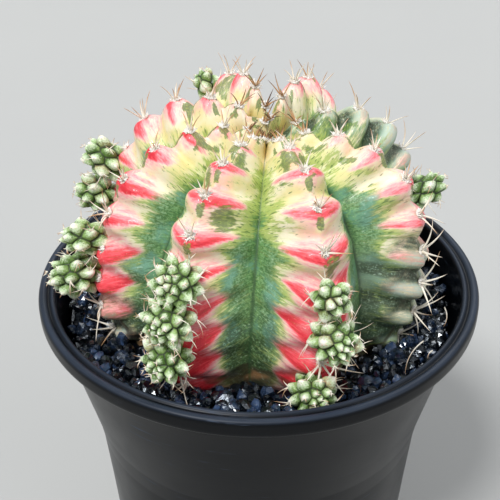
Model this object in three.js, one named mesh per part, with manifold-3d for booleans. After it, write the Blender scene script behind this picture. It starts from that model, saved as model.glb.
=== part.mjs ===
// A potted round cactus: a variegated globe cactus with eight ribs and twelve offsets,
// in a round plastic nursery pot filled with potting mix and dressed with gravel.
//
// Millimetres, +Z up. The origin is the centre of the pot's foot, on the surface that the
// pot stands on. The plant's front is -Y. An azimuth is counted from the front, positive
// towards +X. Plant heights are counted from the pot's rim, as a grower would measure them.
import * as THREE from "three";
import { mergeVertices } from "three/addons/utils/BufferGeometryUtils.js";
import Module from "manifold-3d";

const wasm = await Module();
wasm.setup();

// ---- Driving dimensions ----
const POT_HEIGHT = 95;
const RIM_RADIUS = 55;
const WALL = 1.2;
const FOOT_HEIGHT = 2; // how far the floor stands above the ring that the pot rests on
const POT_SEGMENTS = 36;
const GRAVEL_DEPTH = 8; // from the rim down to the gravel's surface
const MIX_DEPTH = 15; // from the rim down to the potting mix
const CLEARANCE = 0.35; // gap that keeps neighbouring solids apart
const LEAN = 0.055; // sideways lean of the plant towards +X, per millimetre above the rim
const FIRST_SPINY_AREOLE = 2; // areoles nearer the crown are too crowded for solids
const LAST_SPINY_AREOLE = 7;
const DRAIN_HOLES = 6;

// ---- Colours of the finishes ----
const FINISH = {
  pot: new THREE.MeshStandardMaterial({ color: 0x17191d, roughness: 0.45, metalness: 0 }),
  mix: new THREE.MeshStandardMaterial({ color: 0x2a211b, roughness: 0.95, metalness: 0 }),
  gravel: new THREE.MeshStandardMaterial({ color: 0x15171b, roughness: 0.35, metalness: 0 }),
  flesh: new THREE.MeshStandardMaterial({ color: 0x5f8f4c, roughness: 0.5, metalness: 0 }),
  pup: new THREE.MeshStandardMaterial({ color: 0x8fae68, roughness: 0.5, metalness: 0 }),
  spine: new THREE.MeshStandardMaterial({ color: 0xe6d3b4, roughness: 0.55, metalness: 0 }),
};

// ---- The ribs ----
// Radius and height above the rim, from the crown to the base: along a rib's crest, and
// along the furrow between two ribs. The two curves share their steps.
const CREST = [
  [0.5, 36.8], [6, 39.6], [12, 41.4], [20, 41.2], [28, 38.2], [35, 32],
  [38.6, 24], [40.5, 15], [41.3, 7], [40.6, -1], [37.6, -8.5], [33, -14.5],
];
const FURROW = [
  [0.3, 35.8], [3.5, 35.8], [8.5, 35.2], [14.5, 33.5], [20.5, 30.5], [25.5, 26],
  [29, 20.5], [31.5, 14], [33, 7], [33.3, -0.5], [32, -8], [29.5, -14.5],
];
const STEPS = CREST.length - 1;
// Half the height of a crest's tubercles, at the same steps.
const SINK = 0.6; // how much of that half height the whole crest is sunk by
const RELIEF = [0.4, 0.9, 1.3, 1.25, 1, 0.9, 0.9, 0.9, 0.85, 0.75, 0.6, 0.2];

// Each rib: its azimuth in degrees, the step of its innermost areole and the steps from one
// areole to the next, how far it rises above its neighbours at the crown, and its areoles
// that carry an offset.
const RIBS = [
  { name: "front_left", azimuth: -26.5, first: 0.36, spacing: 0.96, lift: 0.5, offsets: [6, 7, 8] },
  { name: "front_right", azimuth: 19.5, first: 0.2, spacing: 1.05, lift: 0, offsets: [6, 7] },
  { name: "right", azimuth: 67.5, first: 0.5, spacing: 1.06, lift: -0.4, offsets: [] },
  { name: "back_right", azimuth: 112.5, first: 0.1, spacing: 1.1, lift: 0, offsets: [6] },
  { name: "rear_right", azimuth: 155, first: 0.2, spacing: 1.08, lift: 5, offsets: [] },
  { name: "rear_left", azimuth: 202, first: 0.4, spacing: 1.08, lift: 7, offsets: [4] },
  { name: "back_left", azimuth: 248, first: 0.15, spacing: 1.1, lift: 4.5, offsets: [5, 6] },
  { name: "left", azimuth: 291, first: 0.85, spacing: 1, lift: 1.2, offsets: [6, 7] },
];

// Each offset: its place (azimuth, radius, height above the rim), its half width across
// and half length along its own axis, and how far its axis points up, in degrees.
const OFFSETS = [
  { name: "offset_front_left_upper", place: [-26, 41.5, 22.7], size: [5.2, 4.8], tilt: 35 },
  { name: "offset_front_left_middle", place: [-26.8, 44.2, 14.4], size: [5.4, 5.4], tilt: 12 },
  { name: "offset_front_left_lower", place: [-27, 44.2, 4.1], size: [5.2, 5.5], tilt: 5 },
  { name: "offset_front_right_upper", place: [19, 42.4, 20.4], size: [3.9, 4.8], tilt: 40 },
  { name: "offset_front_right_lower", place: [20.5, 44.1, 10.6], size: [5.1, 5.5], tilt: 12 },
  { name: "offset_front_right_base", place: [16, 42.9, -4.7], size: [5.1, 6], tilt: 25 },
  { name: "offset_left_upper", place: [-74, 42.9, 17.8], size: [3.9, 5.5], tilt: 15 },
  { name: "offset_left_lower", place: [-73.5, 45.7, 8.3], size: [4.9, 6.5], tilt: 5 },
  { name: "offset_back_left_upper", place: [-108, 41.8, 25.6], size: [4.3, 5.8], tilt: 30 },
  { name: "offset_back_left_lower", place: [-107, 44.3, 15.8], size: [4.5, 5.7], tilt: 10 },
  { name: "offset_back_right", place: [110, 44.8, 15.1], size: [4, 6.1], tilt: 20 },
  { name: "offset_rear_left", place: [-150.5, 31.5, 39.4], size: [3.2, 3.6], tilt: 55 },
];

// ---- Small helpers ----
const radians = (degrees) => (degrees * Math.PI) / 180;
const clamp01 = (x) => Math.min(1, Math.max(0, x));
const smooth = (x) => clamp01(x) ** 2 * (3 - 2 * clamp01(x));
const mix = (a, b, t) => a + (b - a) * t;

// A repeatable number from 0 to 1 for any index.
function scatter(index) {
  const wave = Math.sin(index * 127.1 + 11.7) * 43758.5453;
  return wave - Math.floor(wave);
}

// The value of a list of numbers at a step between its entries.
function along(list, step) {
  const low = Math.min(Math.floor(step), list.length - 2);
  return mix(list[low], list[low + 1], step - low);
}

// A geometry's surface as a solid that can be joined and cut.
function solidOf(geometry) {
  const bare = geometry.index ? geometry.toNonIndexed() : geometry.clone();
  bare.deleteAttribute("normal");
  bare.deleteAttribute("uv");
  const merged = mergeVertices(bare, 1e-3);
  return new wasm.Manifold(
    new wasm.Mesh({
      numProp: 3,
      vertProperties: merged.attributes.position.array,
      triVerts: new Uint32Array(merged.index.array),
    }),
  );
}

// A solid back as a geometry.
function geometryOf(solid) {
  const mesh = solid.getMesh();
  return new THREE.BufferGeometry()
    .setAttribute("position", new THREE.BufferAttribute(mesh.vertProperties, 3))
    .setIndex(new THREE.BufferAttribute(mesh.triVerts, 1));
}

// What is left of a solid outside the others: its largest piece.
function carve(solid, others) {
  const left = others.reduce((rest, other) => rest.subtract(other), solid);
  return left.decompose().reduce((a, b) => (a.volume() > b.volume() ? a : b));
}

// A closed surface from rings of points, each ring a closed loop, between two poles.
function ringedGeometry(rings, firstPole, lastPole) {
  const count = rings[0].length;
  const positions = [firstPole, ...rings.flat(), lastPole].flatMap((p) => [p.x, p.y, p.z]);
  const last = rings.length * count + 1;
  const at = (ring, column) => 1 + ring * count + (column % count);
  const faces = [];
  for (let column = 0; column < count; column++) {
    faces.push(0, at(0, column), at(0, column + 1));
    faces.push(last, at(rings.length - 1, column + 1), at(rings.length - 1, column));
  }
  for (let ring = 0; ring + 1 < rings.length; ring++)
    for (let column = 0; column < count; column++) {
      const [a, b] = [at(ring, column), at(ring, column + 1)];
      const [c, d] = [at(ring + 1, column), at(ring + 1, column + 1)];
      faces.push(a, c, b, b, c, d);
    }
  return new THREE.BufferGeometry()
    .setAttribute("position", new THREE.Float32BufferAttribute(positions, 3))
    .setIndex(faces);
}

// A profile of [radius, height] points turned about the Z axis.
function turned(profile) {
  const points = profile.map(([radius, height]) => new THREE.Vector2(radius, height));
  return new THREE.LatheGeometry(points, POT_SEGMENTS).rotateX(Math.PI / 2);
}

// A point in the part's frame from its azimuth, radius and height above the rim.
function polar(azimuth, radius, height) {
  const angle = radians(azimuth);
  const lean = LEAN * Math.max(0, height);
  const [x, y] = [radius * Math.sin(angle) + lean, -radius * Math.cos(angle)];
  return new THREE.Vector3(x, y, POT_HEIGHT + height);
}

// ---- The pot ----
// The outer wall from the foot to the flange: a slim lower body, a soft shoulder, and a
// wider collar that opens up to the rim. The flange is counted from the rim's top edge.
const POT_WALL = [[39.6, 0.8], [41.9, 36], [43.1, 52], [44, 58], [45.6, 65], [48.9, 79], [51.7, 90.5]];
const FLANGE = [
  [-1, -4.5], [-0.3, -4.2], [0, -3.4], [0, -1.1], [-0.4, -0.3], [-1.1, 0],
  [-1.9, -0.4], [-3, -0.3], [-3.8, -0.4], [-4.3, -1.1],
].map(([inwards, down]) => [RIM_RADIUS + inwards, POT_HEIGHT + down]);

function potGeometry() {
  const inside = POT_WALL.slice(1).reverse().map(([radius, height]) => [radius - WALL, height]);
  const floor = FOOT_HEIGHT + WALL;
  const blank = solidOf(
    turned([
      [0, FOOT_HEIGHT], [31.5, FOOT_HEIGHT], [33.5, 0], [38.8, 0],
      ...POT_WALL, ...FLANGE, ...inside,
      [38.6, floor + 1], [37.6, floor], [0, floor],
    ]),
  );
  const holes = Array.from({ length: DRAIN_HOLES }, (_, index) => {
    const angle = (index * 2 * Math.PI) / DRAIN_HOLES;
    const drill = new THREE.CylinderGeometry(3, 3, 4 * WALL, 12).rotateX(Math.PI / 2);
    return solidOf(drill.translate(24 * Math.cos(angle), 24 * Math.sin(angle), floor - WALL / 2));
  });
  return geometryOf(carve(blank, holes));
}

// ---- The potting mix ----
function mixGeometry() {
  const top = POT_HEIGHT - MIX_DEPTH;
  const inside = POT_WALL.filter(([, height]) => height > 4 && height < top);
  const floor = FOOT_HEIGHT + WALL + CLEARANCE;
  return turned([
    [0, floor], [37.2, floor], [38.2, floor + 1],
    ...inside.map(([radius, height]) => [radius - WALL - CLEARANCE, height]),
    [47.4, top], [0, top],
  ]);
}

// ---- The cactus ----
const crestCurve = new THREE.SplineCurve(CREST.map(([r, z]) => new THREE.Vector2(r, z)));
const furrowCurve = new THREE.SplineCurve(FURROW.map(([r, z]) => new THREE.Vector2(r, z)));

// How far a crest stands out at a step: each areole has a chin just below it and a notch
// just above the next one. From -1 in a notch to 1 on a chin. Old notches are wider.
function tubercle(rib, step) {
  const age = smooth((step - 3) / 4);
  const phase = (step - rib.first) / rib.spacing - mix(0.06, 0.24, age);
  const wave = (1 + Math.cos(2 * Math.PI * phase)) / 2;
  return 2 * wave ** mix(0.6, 1, age) - 1;
}

// The point of a rib's crest at a step, and its outward normal, as [radius, height] pairs.
function crestAt(rib, step) {
  const share = step / STEPS;
  const point = crestCurve.getPoint(share);
  const tangent = crestCurve.getPoint(Math.min(1, share + 1e-3)).sub(crestCurve.getPoint(share - 1e-3));
  const normal = new THREE.Vector2(-tangent.y, tangent.x).normalize();
  point.y += rib.lift * (1 - smooth(step / 8));
  const stand = along(RELIEF, step) * (tubercle(rib, step) - SINK);
  return { point: point.addScaledVector(normal, stand), normal };
}

// A point of the plant's skin. `turn` counts ribs from crest to crest, `step` the profiles.
function skin(turn, step) {
  const nearest = Math.round(turn);
  const side = turn - nearest;
  const count = RIBS.length;
  const rib = RIBS[((nearest % count) + count) % count];
  const next = RIBS[(((nearest + Math.sign(side)) % count) + count) % count];
  let gap = next.azimuth - rib.azimuth;
  gap -= 360 * Math.round(gap / 360);
  const height = 1 - 2 * Math.abs(side); // 1 on the crest, 0 in the furrow
  const azimuth = rib.azimuth + Math.abs(side) * gap;
  const rounding = mix(1, 1.45, smooth((step - 4) / 4));
  const fullness = 1.65 + 0.25 * tubercle(rib, step) * smooth(step / 2);
  const rise = 1 - (1 - height ** rounding) ** fullness;
  const crest = crestAt(rib, Math.max(step, 1e-3)).point;
  const furrow = furrowCurve.getPoint(step / STEPS);
  return polar(azimuth, mix(furrow.x, crest.x, rise), mix(furrow.y, crest.y, rise));
}

function cactusGeometry(columnsPerRib, rows) {
  const columns = columnsPerRib * RIBS.length;
  const rings = Array.from({ length: rows }, (_, row) =>
    Array.from({ length: columns }, (_, column) =>
      skin(column / columnsPerRib, (STEPS * (row + 1)) / rows),
    ),
  );
  return ringedGeometry(rings, polar(0, 0, FURROW[0][1]), polar(0, 0, CREST[STEPS][1]));
}

// The same surface pushed outwards, to cut its neighbours with.
function swollen(geometry, distance) {
  const copy = mergeVertices(geometry.clone(), 1e-4);
  copy.computeVertexNormals();
  const [position, normal] = [copy.attributes.position, copy.attributes.normal];
  for (let i = 0; i < position.count; i++)
    position.setXYZ(
      i,
      position.getX(i) + distance * normal.getX(i),
      position.getY(i) + distance * normal.getY(i),
      position.getZ(i) + distance * normal.getZ(i),
    );
  return copy;
}

// ---- The offsets ----
// A small globe whose tubercles stand in rows, each row turned by half a tubercle.
function offsetGeometry({ place: [azimuth, radius, height], size: [across, length], tilt }) {
  const [columns, rows] = [12, 7];
  const outward = polar(azimuth, 1, 0).sub(polar(azimuth, 0, 0));
  const axis = outward.multiplyScalar(Math.cos(radians(tilt)));
  axis.z = Math.sin(radians(tilt));
  const rings = Array.from({ length: rows }, (_, row) => {
    const latitude = (Math.PI * (row + 1)) / (rows + 1);
    return Array.from({ length: columns }, (_, column) => {
      const angle = (2 * Math.PI * (column + (row % 2) / 2)) / columns;
      const swell = column % 2 ? 0.92 : 1.04;
      const reach = across * Math.sin(latitude) * swell;
      const lift = length * Math.cos(latitude) * swell;
      return new THREE.Vector3(reach * Math.cos(angle), reach * Math.sin(angle), lift);
    });
  });
  const globe = ringedGeometry(rings, new THREE.Vector3(0, 0, length), new THREE.Vector3(0, 0, -length));
  globe.applyQuaternion(new THREE.Quaternion().setFromUnitVectors(new THREE.Vector3(0, 0, 1), axis));
  const centre = polar(azimuth, radius, height);
  return globe.translate(centre.x, centre.y, centre.z);
}

// ---- The areoles with their spines ----
// One straight spine: a slender three-sided cone.
function spineGeometry(root, direction, length, thickness) {
  const cone = new THREE.ConeGeometry(thickness, length, 3).translate(0, length / 2, 0);
  cone.applyQuaternion(new THREE.Quaternion().setFromUnitVectors(new THREE.Vector3(0, 1, 0), direction));
  return cone.translate(root.x, root.y, root.z);
}

// A woolly pad on a crest, with a fan of spines.
function areoleGeometry(ribIndex, areole) {
  const rib = RIBS[ribIndex];
  const step = rib.first + areole * rib.spacing;
  const { point, normal } = crestAt(rib, step);
  const root = polar(rib.azimuth, point.x, point.y);
  const foot = polar(rib.azimuth, point.x - normal.x, point.y - normal.y);
  const out = root.clone().sub(foot).normalize();
  const sideways = new THREE.Vector3(Math.cos(radians(rib.azimuth)), Math.sin(radians(rib.azimuth)), 0);
  const upward = new THREE.Vector3().crossVectors(out, sideways).normalize();
  root.addScaledVector(out, CLEARANCE + 0.3);
  const pad = new THREE.OctahedronGeometry(1, 0).scale(1.6, 1.6, 1);
  pad.applyQuaternion(new THREE.Quaternion().setFromUnitVectors(new THREE.Vector3(0, 0, 1), out));
  let cluster = solidOf(pad.translate(root.x, root.y, root.z));
  const spread = [-112, -42, 42, 112];
  spread.forEach((angle, index) => {
    const jitter = scatter(ribIndex * 31 + areole * 7 + index);
    const fan = radians(angle + 24 * (jitter - 0.5));
    const lean = mix(0.8, 1.3, jitter);
    const direction = out.clone()
      .addScaledVector(sideways, lean * Math.sin(fan))
      .addScaledVector(upward, lean * Math.cos(fan))
      .normalize();
    const size = mix(4.2, 6.4, scatter(ribIndex * 17 + areole * 5 + index));
    const length = size * mix(0.8, 1, smooth((step - 1) / 4));
    cluster = cluster.add(solidOf(spineGeometry(root, direction, length, 0.42)));
  });
  return cluster;
}

// ---- The gravel ----
// A bed of grains, with a hollow where the plant and its lowest offset stand in it.
function gravelSolid(cutters) {
  const [bottom, top] = [POT_HEIGHT - MIX_DEPTH + CLEARANCE, POT_HEIGHT - GRAVEL_DEPTH];
  const rings = [
    [47.4, bottom], [48.9, top - 1], [47.2, top], [43.2, top], [39.2, top], [34.5, top], [22, top],
  ];
  const loops = rings.map(([radius, height], ring) =>
    Array.from({ length: POT_SEGMENTS }, (_, column) => {
      const angle = (2 * Math.PI * (column + (ring > 1 ? (ring % 2) / 2 : 0))) / POT_SEGMENTS;
      const grain = ring > 1 ? 1.3 * (scatter(ring * 97 + column) - 0.5) : 0;
      return new THREE.Vector3(radius * Math.cos(angle), radius * Math.sin(angle), height + grain);
    }),
  );
  const bed = ringedGeometry(
    loops.reverse(), new THREE.Vector3(0, 0, top), new THREE.Vector3(0, 0, bottom),
  );
  return carve(solidOf(bed), cutters);
}

// ---- Loose dry spines that lie on the gravel ----
const LOOSE_SPINES = [
  { name: "loose_spine_long", from: [63, 44.3], to: [46, 46.6], bow: 1.2 },
  { name: "loose_spine_side", from: [82, 47.2], to: [72, 47.4], bow: -0.7 },
  { name: "loose_spine_short", from: [60, 47.4], to: [56, 47.7], bow: 0.4 },
];

function looseSpineGeometry({ from, to, bow }) {
  const lie = -GRAVEL_DEPTH + 1.5;
  const [start, end] = [polar(from[0], from[1], lie), polar(to[0], to[1], lie)];
  const middle = start.clone().lerp(end, 0.5);
  middle.addScaledVector(new THREE.Vector3(middle.x, middle.y, 0).normalize(), -bow);
  const path = new THREE.CatmullRomCurve3([start, middle, end]);
  const section = new THREE.Shape(
    [0, 1, 2].map((i) => new THREE.Vector2(0.22 * Math.cos(2.1 * i), 0.22 * Math.sin(2.1 * i))),
  );
  return new THREE.ExtrudeGeometry(section, { extrudePath: path, steps: 6, bevelEnabled: false });
}

// ---- Assembly ----
const plant = new THREE.Group();
function place(name, geometry, finish) {
  const mesh = new THREE.Mesh(geometry, finish);
  mesh.name = name;
  plant.add(mesh);
}

place("pot", potGeometry(), FINISH.pot);
place("potting_mix", mixGeometry(), FINISH.mix);
const cactus = cactusGeometry(8, 31);
place("cactus_body", cactus, FINISH.flesh);

const swollenCactus = solidOf(swollen(cactus, CLEARANCE));
const offsetSolids = [];
for (const offset of OFFSETS) {
  const solid = carve(solidOf(offsetGeometry(offset)), [swollenCactus, ...offsetSolids]);
  place(offset.name, geometryOf(solid), FINISH.pup);
  offsetSolids.push(solidOf(swollen(offsetGeometry(offset), CLEARANCE)));
}

place("gravel_top_dressing", geometryOf(gravelSolid([swollenCactus, ...offsetSolids])), FINISH.gravel);

const obstacles = [swollenCactus, ...offsetSolids];
RIBS.forEach((rib, ribIndex) => {
  for (let areole = FIRST_SPINY_AREOLE; areole <= LAST_SPINY_AREOLE; areole++) {
    if (rib.offsets.includes(areole)) continue;
    const cluster = carve(areoleGeometry(ribIndex, areole), obstacles);
    place(`spines_${rib.name}_${areole}`, geometryOf(cluster), FINISH.spine);
  }
});

for (const loose of LOOSE_SPINES) place(loose.name, looseSpineGeometry(loose), FINISH.spine);

export default plant;
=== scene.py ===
"""The looks of a potted round cactus: a variegated globe cactus in a black nursery pot.

Shapes are worked out in millimetres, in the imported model's frame, and become metres when they
are put into a mesh. +Z is up and the plant's front is -Y. An azimuth is counted from the front,
positive towards +X. Plant heights are counted from the pot's rim.
"""

import logging
import math
from dataclasses import dataclass, field
from enum import Enum
from typing import Optional, Sequence, Union

import bmesh
import bpy
import numpy as np
from mathutils import Matrix, Vector


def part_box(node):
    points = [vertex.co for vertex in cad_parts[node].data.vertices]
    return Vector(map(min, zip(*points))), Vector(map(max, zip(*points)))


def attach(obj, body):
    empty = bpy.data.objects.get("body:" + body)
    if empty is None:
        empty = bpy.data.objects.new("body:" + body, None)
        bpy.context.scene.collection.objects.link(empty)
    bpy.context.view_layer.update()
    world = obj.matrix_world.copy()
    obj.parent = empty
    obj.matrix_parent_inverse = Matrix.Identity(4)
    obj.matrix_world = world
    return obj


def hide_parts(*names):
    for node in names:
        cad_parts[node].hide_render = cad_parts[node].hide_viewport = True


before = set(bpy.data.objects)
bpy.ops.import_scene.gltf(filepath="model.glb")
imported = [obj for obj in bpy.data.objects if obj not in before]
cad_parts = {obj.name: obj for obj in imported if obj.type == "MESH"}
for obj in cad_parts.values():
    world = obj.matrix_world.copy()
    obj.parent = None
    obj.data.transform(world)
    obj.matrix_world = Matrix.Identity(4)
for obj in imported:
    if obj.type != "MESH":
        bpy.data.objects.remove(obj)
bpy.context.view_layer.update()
log = logging.getLogger("cactus")

MM = 0.001
Socket = bpy.types.NodeSocket


# ---------------------------------------------------------------------------------------
# Numbers
# ---------------------------------------------------------------------------------------
def smooth(x: np.ndarray) -> np.ndarray:
    """Rises from 0 to 1 as x does, level at both ends."""
    t = np.clip(x, 0.0, 1.0)
    return t * t * (3.0 - 2.0 * t)


def mix(a: np.ndarray, b: np.ndarray, t: np.ndarray) -> np.ndarray:
    """The blend of a and b at share t."""
    return a + (b - a) * t


def unit(vectors: np.ndarray) -> np.ndarray:
    """The vectors at length 1."""
    return vectors / np.maximum(np.linalg.norm(vectors, axis=-1, keepdims=True), 1e-12)


def compass(azimuth: float) -> tuple[np.ndarray, np.ndarray]:
    """The level directions outwards and sideways at an azimuth in degrees."""
    angle = math.radians(azimuth)
    outward = np.array([math.sin(angle), -math.cos(angle), 0.0])
    return outward, np.array([math.cos(angle), math.sin(angle), 0.0])


def directions(polar: np.ndarray, turn: np.ndarray) -> np.ndarray:
    """The unit vectors at a polar angle from +Z and a turn about it, in radians."""
    ring = np.sin(polar)
    return np.stack([ring * np.cos(turn), ring * np.sin(turn), np.cos(polar)], -1)


def spline(points: np.ndarray, step: np.ndarray) -> np.ndarray:
    """A smooth curve through a list of points.

    Between two points the curve is the cubic whose slope at each point is half the way from
    the point before it to the point after it.

    Args:
        points: the list, one row for each point.
        step: where along the list to look, 0 at its first point.

    Returns:
        One row for each step.
    """
    padded = np.concatenate([points[:1], points, points[-1:]])
    low = np.clip(np.floor(step).astype(int), 0, len(points) - 2)
    t = (step - low)[..., None]
    before, start, end, after = (padded[low + i] for i in range(4))
    slope_in = (end - before) / 2
    slope_out = (after - start) / 2
    cubic = 2 * start - 2 * end + slope_in + slope_out
    square = 3 * end - 3 * start - 2 * slope_in - slope_out
    return ((cubic * t + square) * t + slope_in) * t + start


def ripple(x: np.ndarray, y: np.ndarray, z: np.ndarray, seed: int) -> np.ndarray:
    """A smooth wander between about -1 and 1: a sum of sine waves in random directions.

    Args:
        x: first coordinate, in the size of the largest bumps.
        y: second coordinate.
        z: third coordinate.
        seed: picks the wander.

    Returns:
        The wander at each place.
    """
    octaves, waves = 3, 4
    finer, weaker, density, usual = 2.2, 1.9, 2.6, 3.2
    draw = np.random.default_rng(seed)
    total = np.zeros(np.broadcast(x, y, z).shape)
    for octave in range(octaves):
        for _ in range(waves):
            direction = unit(draw.normal(size=3)) * finer**octave * density
            shift = draw.uniform(0, 2 * np.pi)
            wave = np.sin(direction[0] * x + direction[1] * y + direction[2] * z + shift)
            total += wave / weaker**octave
    return total / usual


# ---------------------------------------------------------------------------------------
# Meshes
# ---------------------------------------------------------------------------------------
def ring_quads(rings: int, columns: int) -> np.ndarray:
    """The quads between closed rings of points, stored ring after ring."""
    first = np.arange(rings - 1)[:, None] * columns
    column = np.arange(columns)[None, :]
    a = first + column
    b = first + (column + 1) % columns
    return np.stack([a, a + columns, b + columns, b], -1).reshape(-1, 4)


def fan(pole: int, first: int, columns: int, reverse: bool = False) -> np.ndarray:
    """The triangles between a pole and the ring of points that starts at `first`."""
    column = np.arange(columns)
    a, b = first + column, first + (column + 1) % columns
    corners = [np.full(columns, pole), b, a] if reverse else [np.full(columns, pole), a, b]
    return np.stack(corners, -1)


def placed(name: str, data: bpy.types.ID) -> bpy.types.Object:
    """A new object of the scene that shows this mesh, light or camera."""
    made = bpy.data.objects.new(name, data)
    bpy.context.scene.collection.objects.link(made)
    return made


@dataclass
class Surface:
    """Points in millimetres, the faces between them, and values at the points.

    `flank` holds a flat coordinate for each corner of each quad, and is left out where no
    finish needs it.
    """

    points: np.ndarray
    quads: np.ndarray
    triangles: np.ndarray
    values: dict[str, np.ndarray] = field(default_factory=dict)
    flank: Optional[np.ndarray] = None

    def volume(self) -> float:
        """The enclosed volume, negative if the faces point inwards."""
        quads = self.quads.reshape(-1, 4)
        halves = [quads[:, [0, 1, 2]], quads[:, [0, 2, 3]]]
        corners = np.concatenate([*halves, self.triangles.reshape(-1, 3)])
        a, b, c = (self.points[corners[:, i]] for i in range(3))
        return float(np.einsum("ij,ij->i", a, np.cross(b, c)).sum() / 6)

    def outwards(self) -> "Surface":
        """The same surface with its faces pointing outwards."""
        if self.volume() < 0:
            self.quads = self.quads[:, ::-1]
            self.triangles = self.triangles[:, ::-1]
            self.flank = None if self.flank is None else self.flank[:, ::-1]
        return self

    def piece(self, name: str, finish: bpy.types.Material, rounded: bool = True) -> bpy.types.Object:
        """Puts the surface into a mesh object at the origin.

        Args:
            name: the object's name.
            finish: its material.
            rounded: whether the faces are shaded as one smooth surface.

        Returns:
            The new object.
        """
        self.outwards()
        mesh = bpy.data.meshes.new(name)
        faces = self.quads.tolist() + self.triangles.tolist()
        mesh.from_pydata((self.points * MM).tolist(), [], faces)
        mesh.polygons.foreach_set("use_smooth", np.full(len(faces), rounded))
        for title, value in self.values.items():
            layer = mesh.attributes.new(title, "FLOAT_COLOR", "POINT")
            rgba = np.ones((len(self.points), 4), np.float32)
            rgba[:, : value.shape[1]] = value
            layer.data.foreach_set("color", rgba.ravel())
        if self.flank is not None:
            layer = mesh.uv_layers.new(name="flank")
            corners = np.zeros((len(mesh.loops), 2), np.float32)
            corners[: self.flank.size // 2] = self.flank.reshape(-1, 2)
            layer.data.foreach_set("uv", corners.ravel())
        mesh.materials.append(finish)
        mesh.update()
        return placed(name, mesh)


def capped(points: np.ndarray, columns: int, values: Optional[dict[str, np.ndarray]] = None) -> Surface:
    """A closed surface from rings of points, followed by the first and the last ring's pole.

    Args:
        points: the rings' points, ring after ring, and the two poles.
        columns: how many points a ring has.
        values: the values at the points.

    Returns:
        The surface.
    """
    count = len(points) - 2
    ends = [fan(count, 0, columns), fan(count + 1, count - columns, columns, True)]
    return Surface(points, ring_quads(count // columns, columns), np.concatenate(ends), values or {})


def joined(surfaces: Sequence[Surface]) -> Surface:
    """Several surfaces as one."""
    starts = np.cumsum([0] + [len(s.points) for s in surfaces])
    titles = surfaces[0].values
    return Surface(
        np.concatenate([s.points for s in surfaces]),
        np.concatenate([s.quads.reshape(-1, 4) + start for s, start in zip(surfaces, starts)]),
        np.concatenate([s.triangles.reshape(-1, 3) + start for s, start in zip(surfaces, starts)]),
        {title: np.concatenate([s.values[title] for s in surfaces]) for title in titles},
    )


def revolved(profile: np.ndarray, segments: int) -> Surface:
    """A profile turned about the Z axis.

    The point at share s of the profile and angle a is (r cos a, r sin a, h), where r and h
    are the profile's radius and height at s. The profile's two ends are on the axis.

    Args:
        profile: rows of radius and height.
        segments: how many flats the round has.

    Returns:
        The closed surface.
    """
    angle = np.linspace(0, 2 * np.pi, segments, endpoint=False)[None, :]
    radius, height = profile[1:-1, 0][:, None], profile[1:-1, 1][:, None]
    grid = np.stack(np.broadcast_arrays(radius * np.cos(angle), radius * np.sin(angle), height), -1)
    poles = np.array([[0, 0, profile[0, 1]], [0, 0, profile[-1, 1]]])
    return capped(np.concatenate([grid.reshape(-1, 3), poles]), segments)


def softened(corners: Sequence[tuple[float, float]], reach: float, arc: int = 5) -> np.ndarray:
    """A profile with its inner corners rounded.

    Each corner is replaced by the parabola that leaves its two sides at a distance `reach`
    from it, or halfway along a side that is shorter.

    Args:
        corners: the profile's points, its ends included.
        reach: how far from the corner the rounding starts.
        arc: how many points each rounding has.

    Returns:
        The rounded profile.
    """
    points = np.array(corners, float)
    before, corner, after = points[:-2], points[1:-1], points[2:]
    back, forth = before - corner, after - corner
    cut_back = np.minimum(reach / np.linalg.norm(back, axis=1), 0.5)[:, None]
    cut_forth = np.minimum(reach / np.linalg.norm(forth, axis=1), 0.5)[:, None]
    start, end = corner + back * cut_back, corner + forth * cut_forth
    t = np.linspace(0, 1, arc)[None, :, None]
    curve = start[:, None] * (1 - t) ** 2 + corner[:, None] * 2 * t * (1 - t) + end[:, None] * t**2
    return np.concatenate([points[:1], curve.reshape(-1, 2), points[-1:]])


def bristles(
    roots: np.ndarray,
    directions: np.ndarray,
    bends: np.ndarray,
    lengths: np.ndarray,
    radii: np.ndarray,
    tone: np.ndarray,
    sides: int = 6,
    segments: int = 8,
) -> Surface:
    """Slender curved cones.

    The centre line at share t is root + length (t direction + t squared bend), and the radius
    there is the root's radius times the 0.7th power of 1 - t.

    Args:
        roots: where each one starts.
        directions: the unit vector along which it starts.
        bends: how its tip leaves that line, as a share of its length.
        lengths: how long it is.
        radii: its radius at the root.
        tone: how dark it is, from 0 to 1.
        sides: corners of its section.
        segments: steps along it.

    Returns:
        All of them as one surface, with the value `spine`: share along it, and tone.
    """
    count = len(roots)
    t = np.linspace(0, 1, segments + 1)
    travel = directions[:, None] * t[:, None] + bends[:, None] * (t**2)[:, None]
    centre = roots[:, None] + lengths[:, None, None] * travel
    helper = np.where(np.abs(directions[:, 2:]) > 0.8, [[1.0, 0, 0]], [[0, 0, 1.0]])
    across = unit(np.cross(directions, helper))
    over = np.cross(directions, across)
    angle = np.linspace(0, 2 * np.pi, sides, endpoint=False)[:, None]
    round_ = across[:, None] * np.cos(angle) + over[:, None] * np.sin(angle)
    radius = radii[:, None] * (1 - t[:-1]) ** 0.7
    rings = centre[:, :-1, None] + radius[:, :, None, None] * round_[:, None]
    body = rings.reshape(count, -1, 3)
    points = np.concatenate([body, centre[:, :1], centre[:, -1:]], 1)
    each = segments * sides + 2
    shift = (np.arange(count) * each)[:, None, None]
    quads = (ring_quads(segments, sides)[None] + shift).reshape(-1, 4)
    ends = np.concatenate([fan(each - 2, 0, sides), fan(each - 1, each - 2 - sides, sides, True)])
    along = np.concatenate([np.repeat(t[:-1], sides), [0, 1]])
    value = np.stack(np.broadcast_arrays(along[None], tone[:, None]), -1).reshape(-1, 2)
    return Surface(
        points.reshape(-1, 3), quads, (ends[None] + shift).reshape(-1, 3), {"spine": value}
    )


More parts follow.
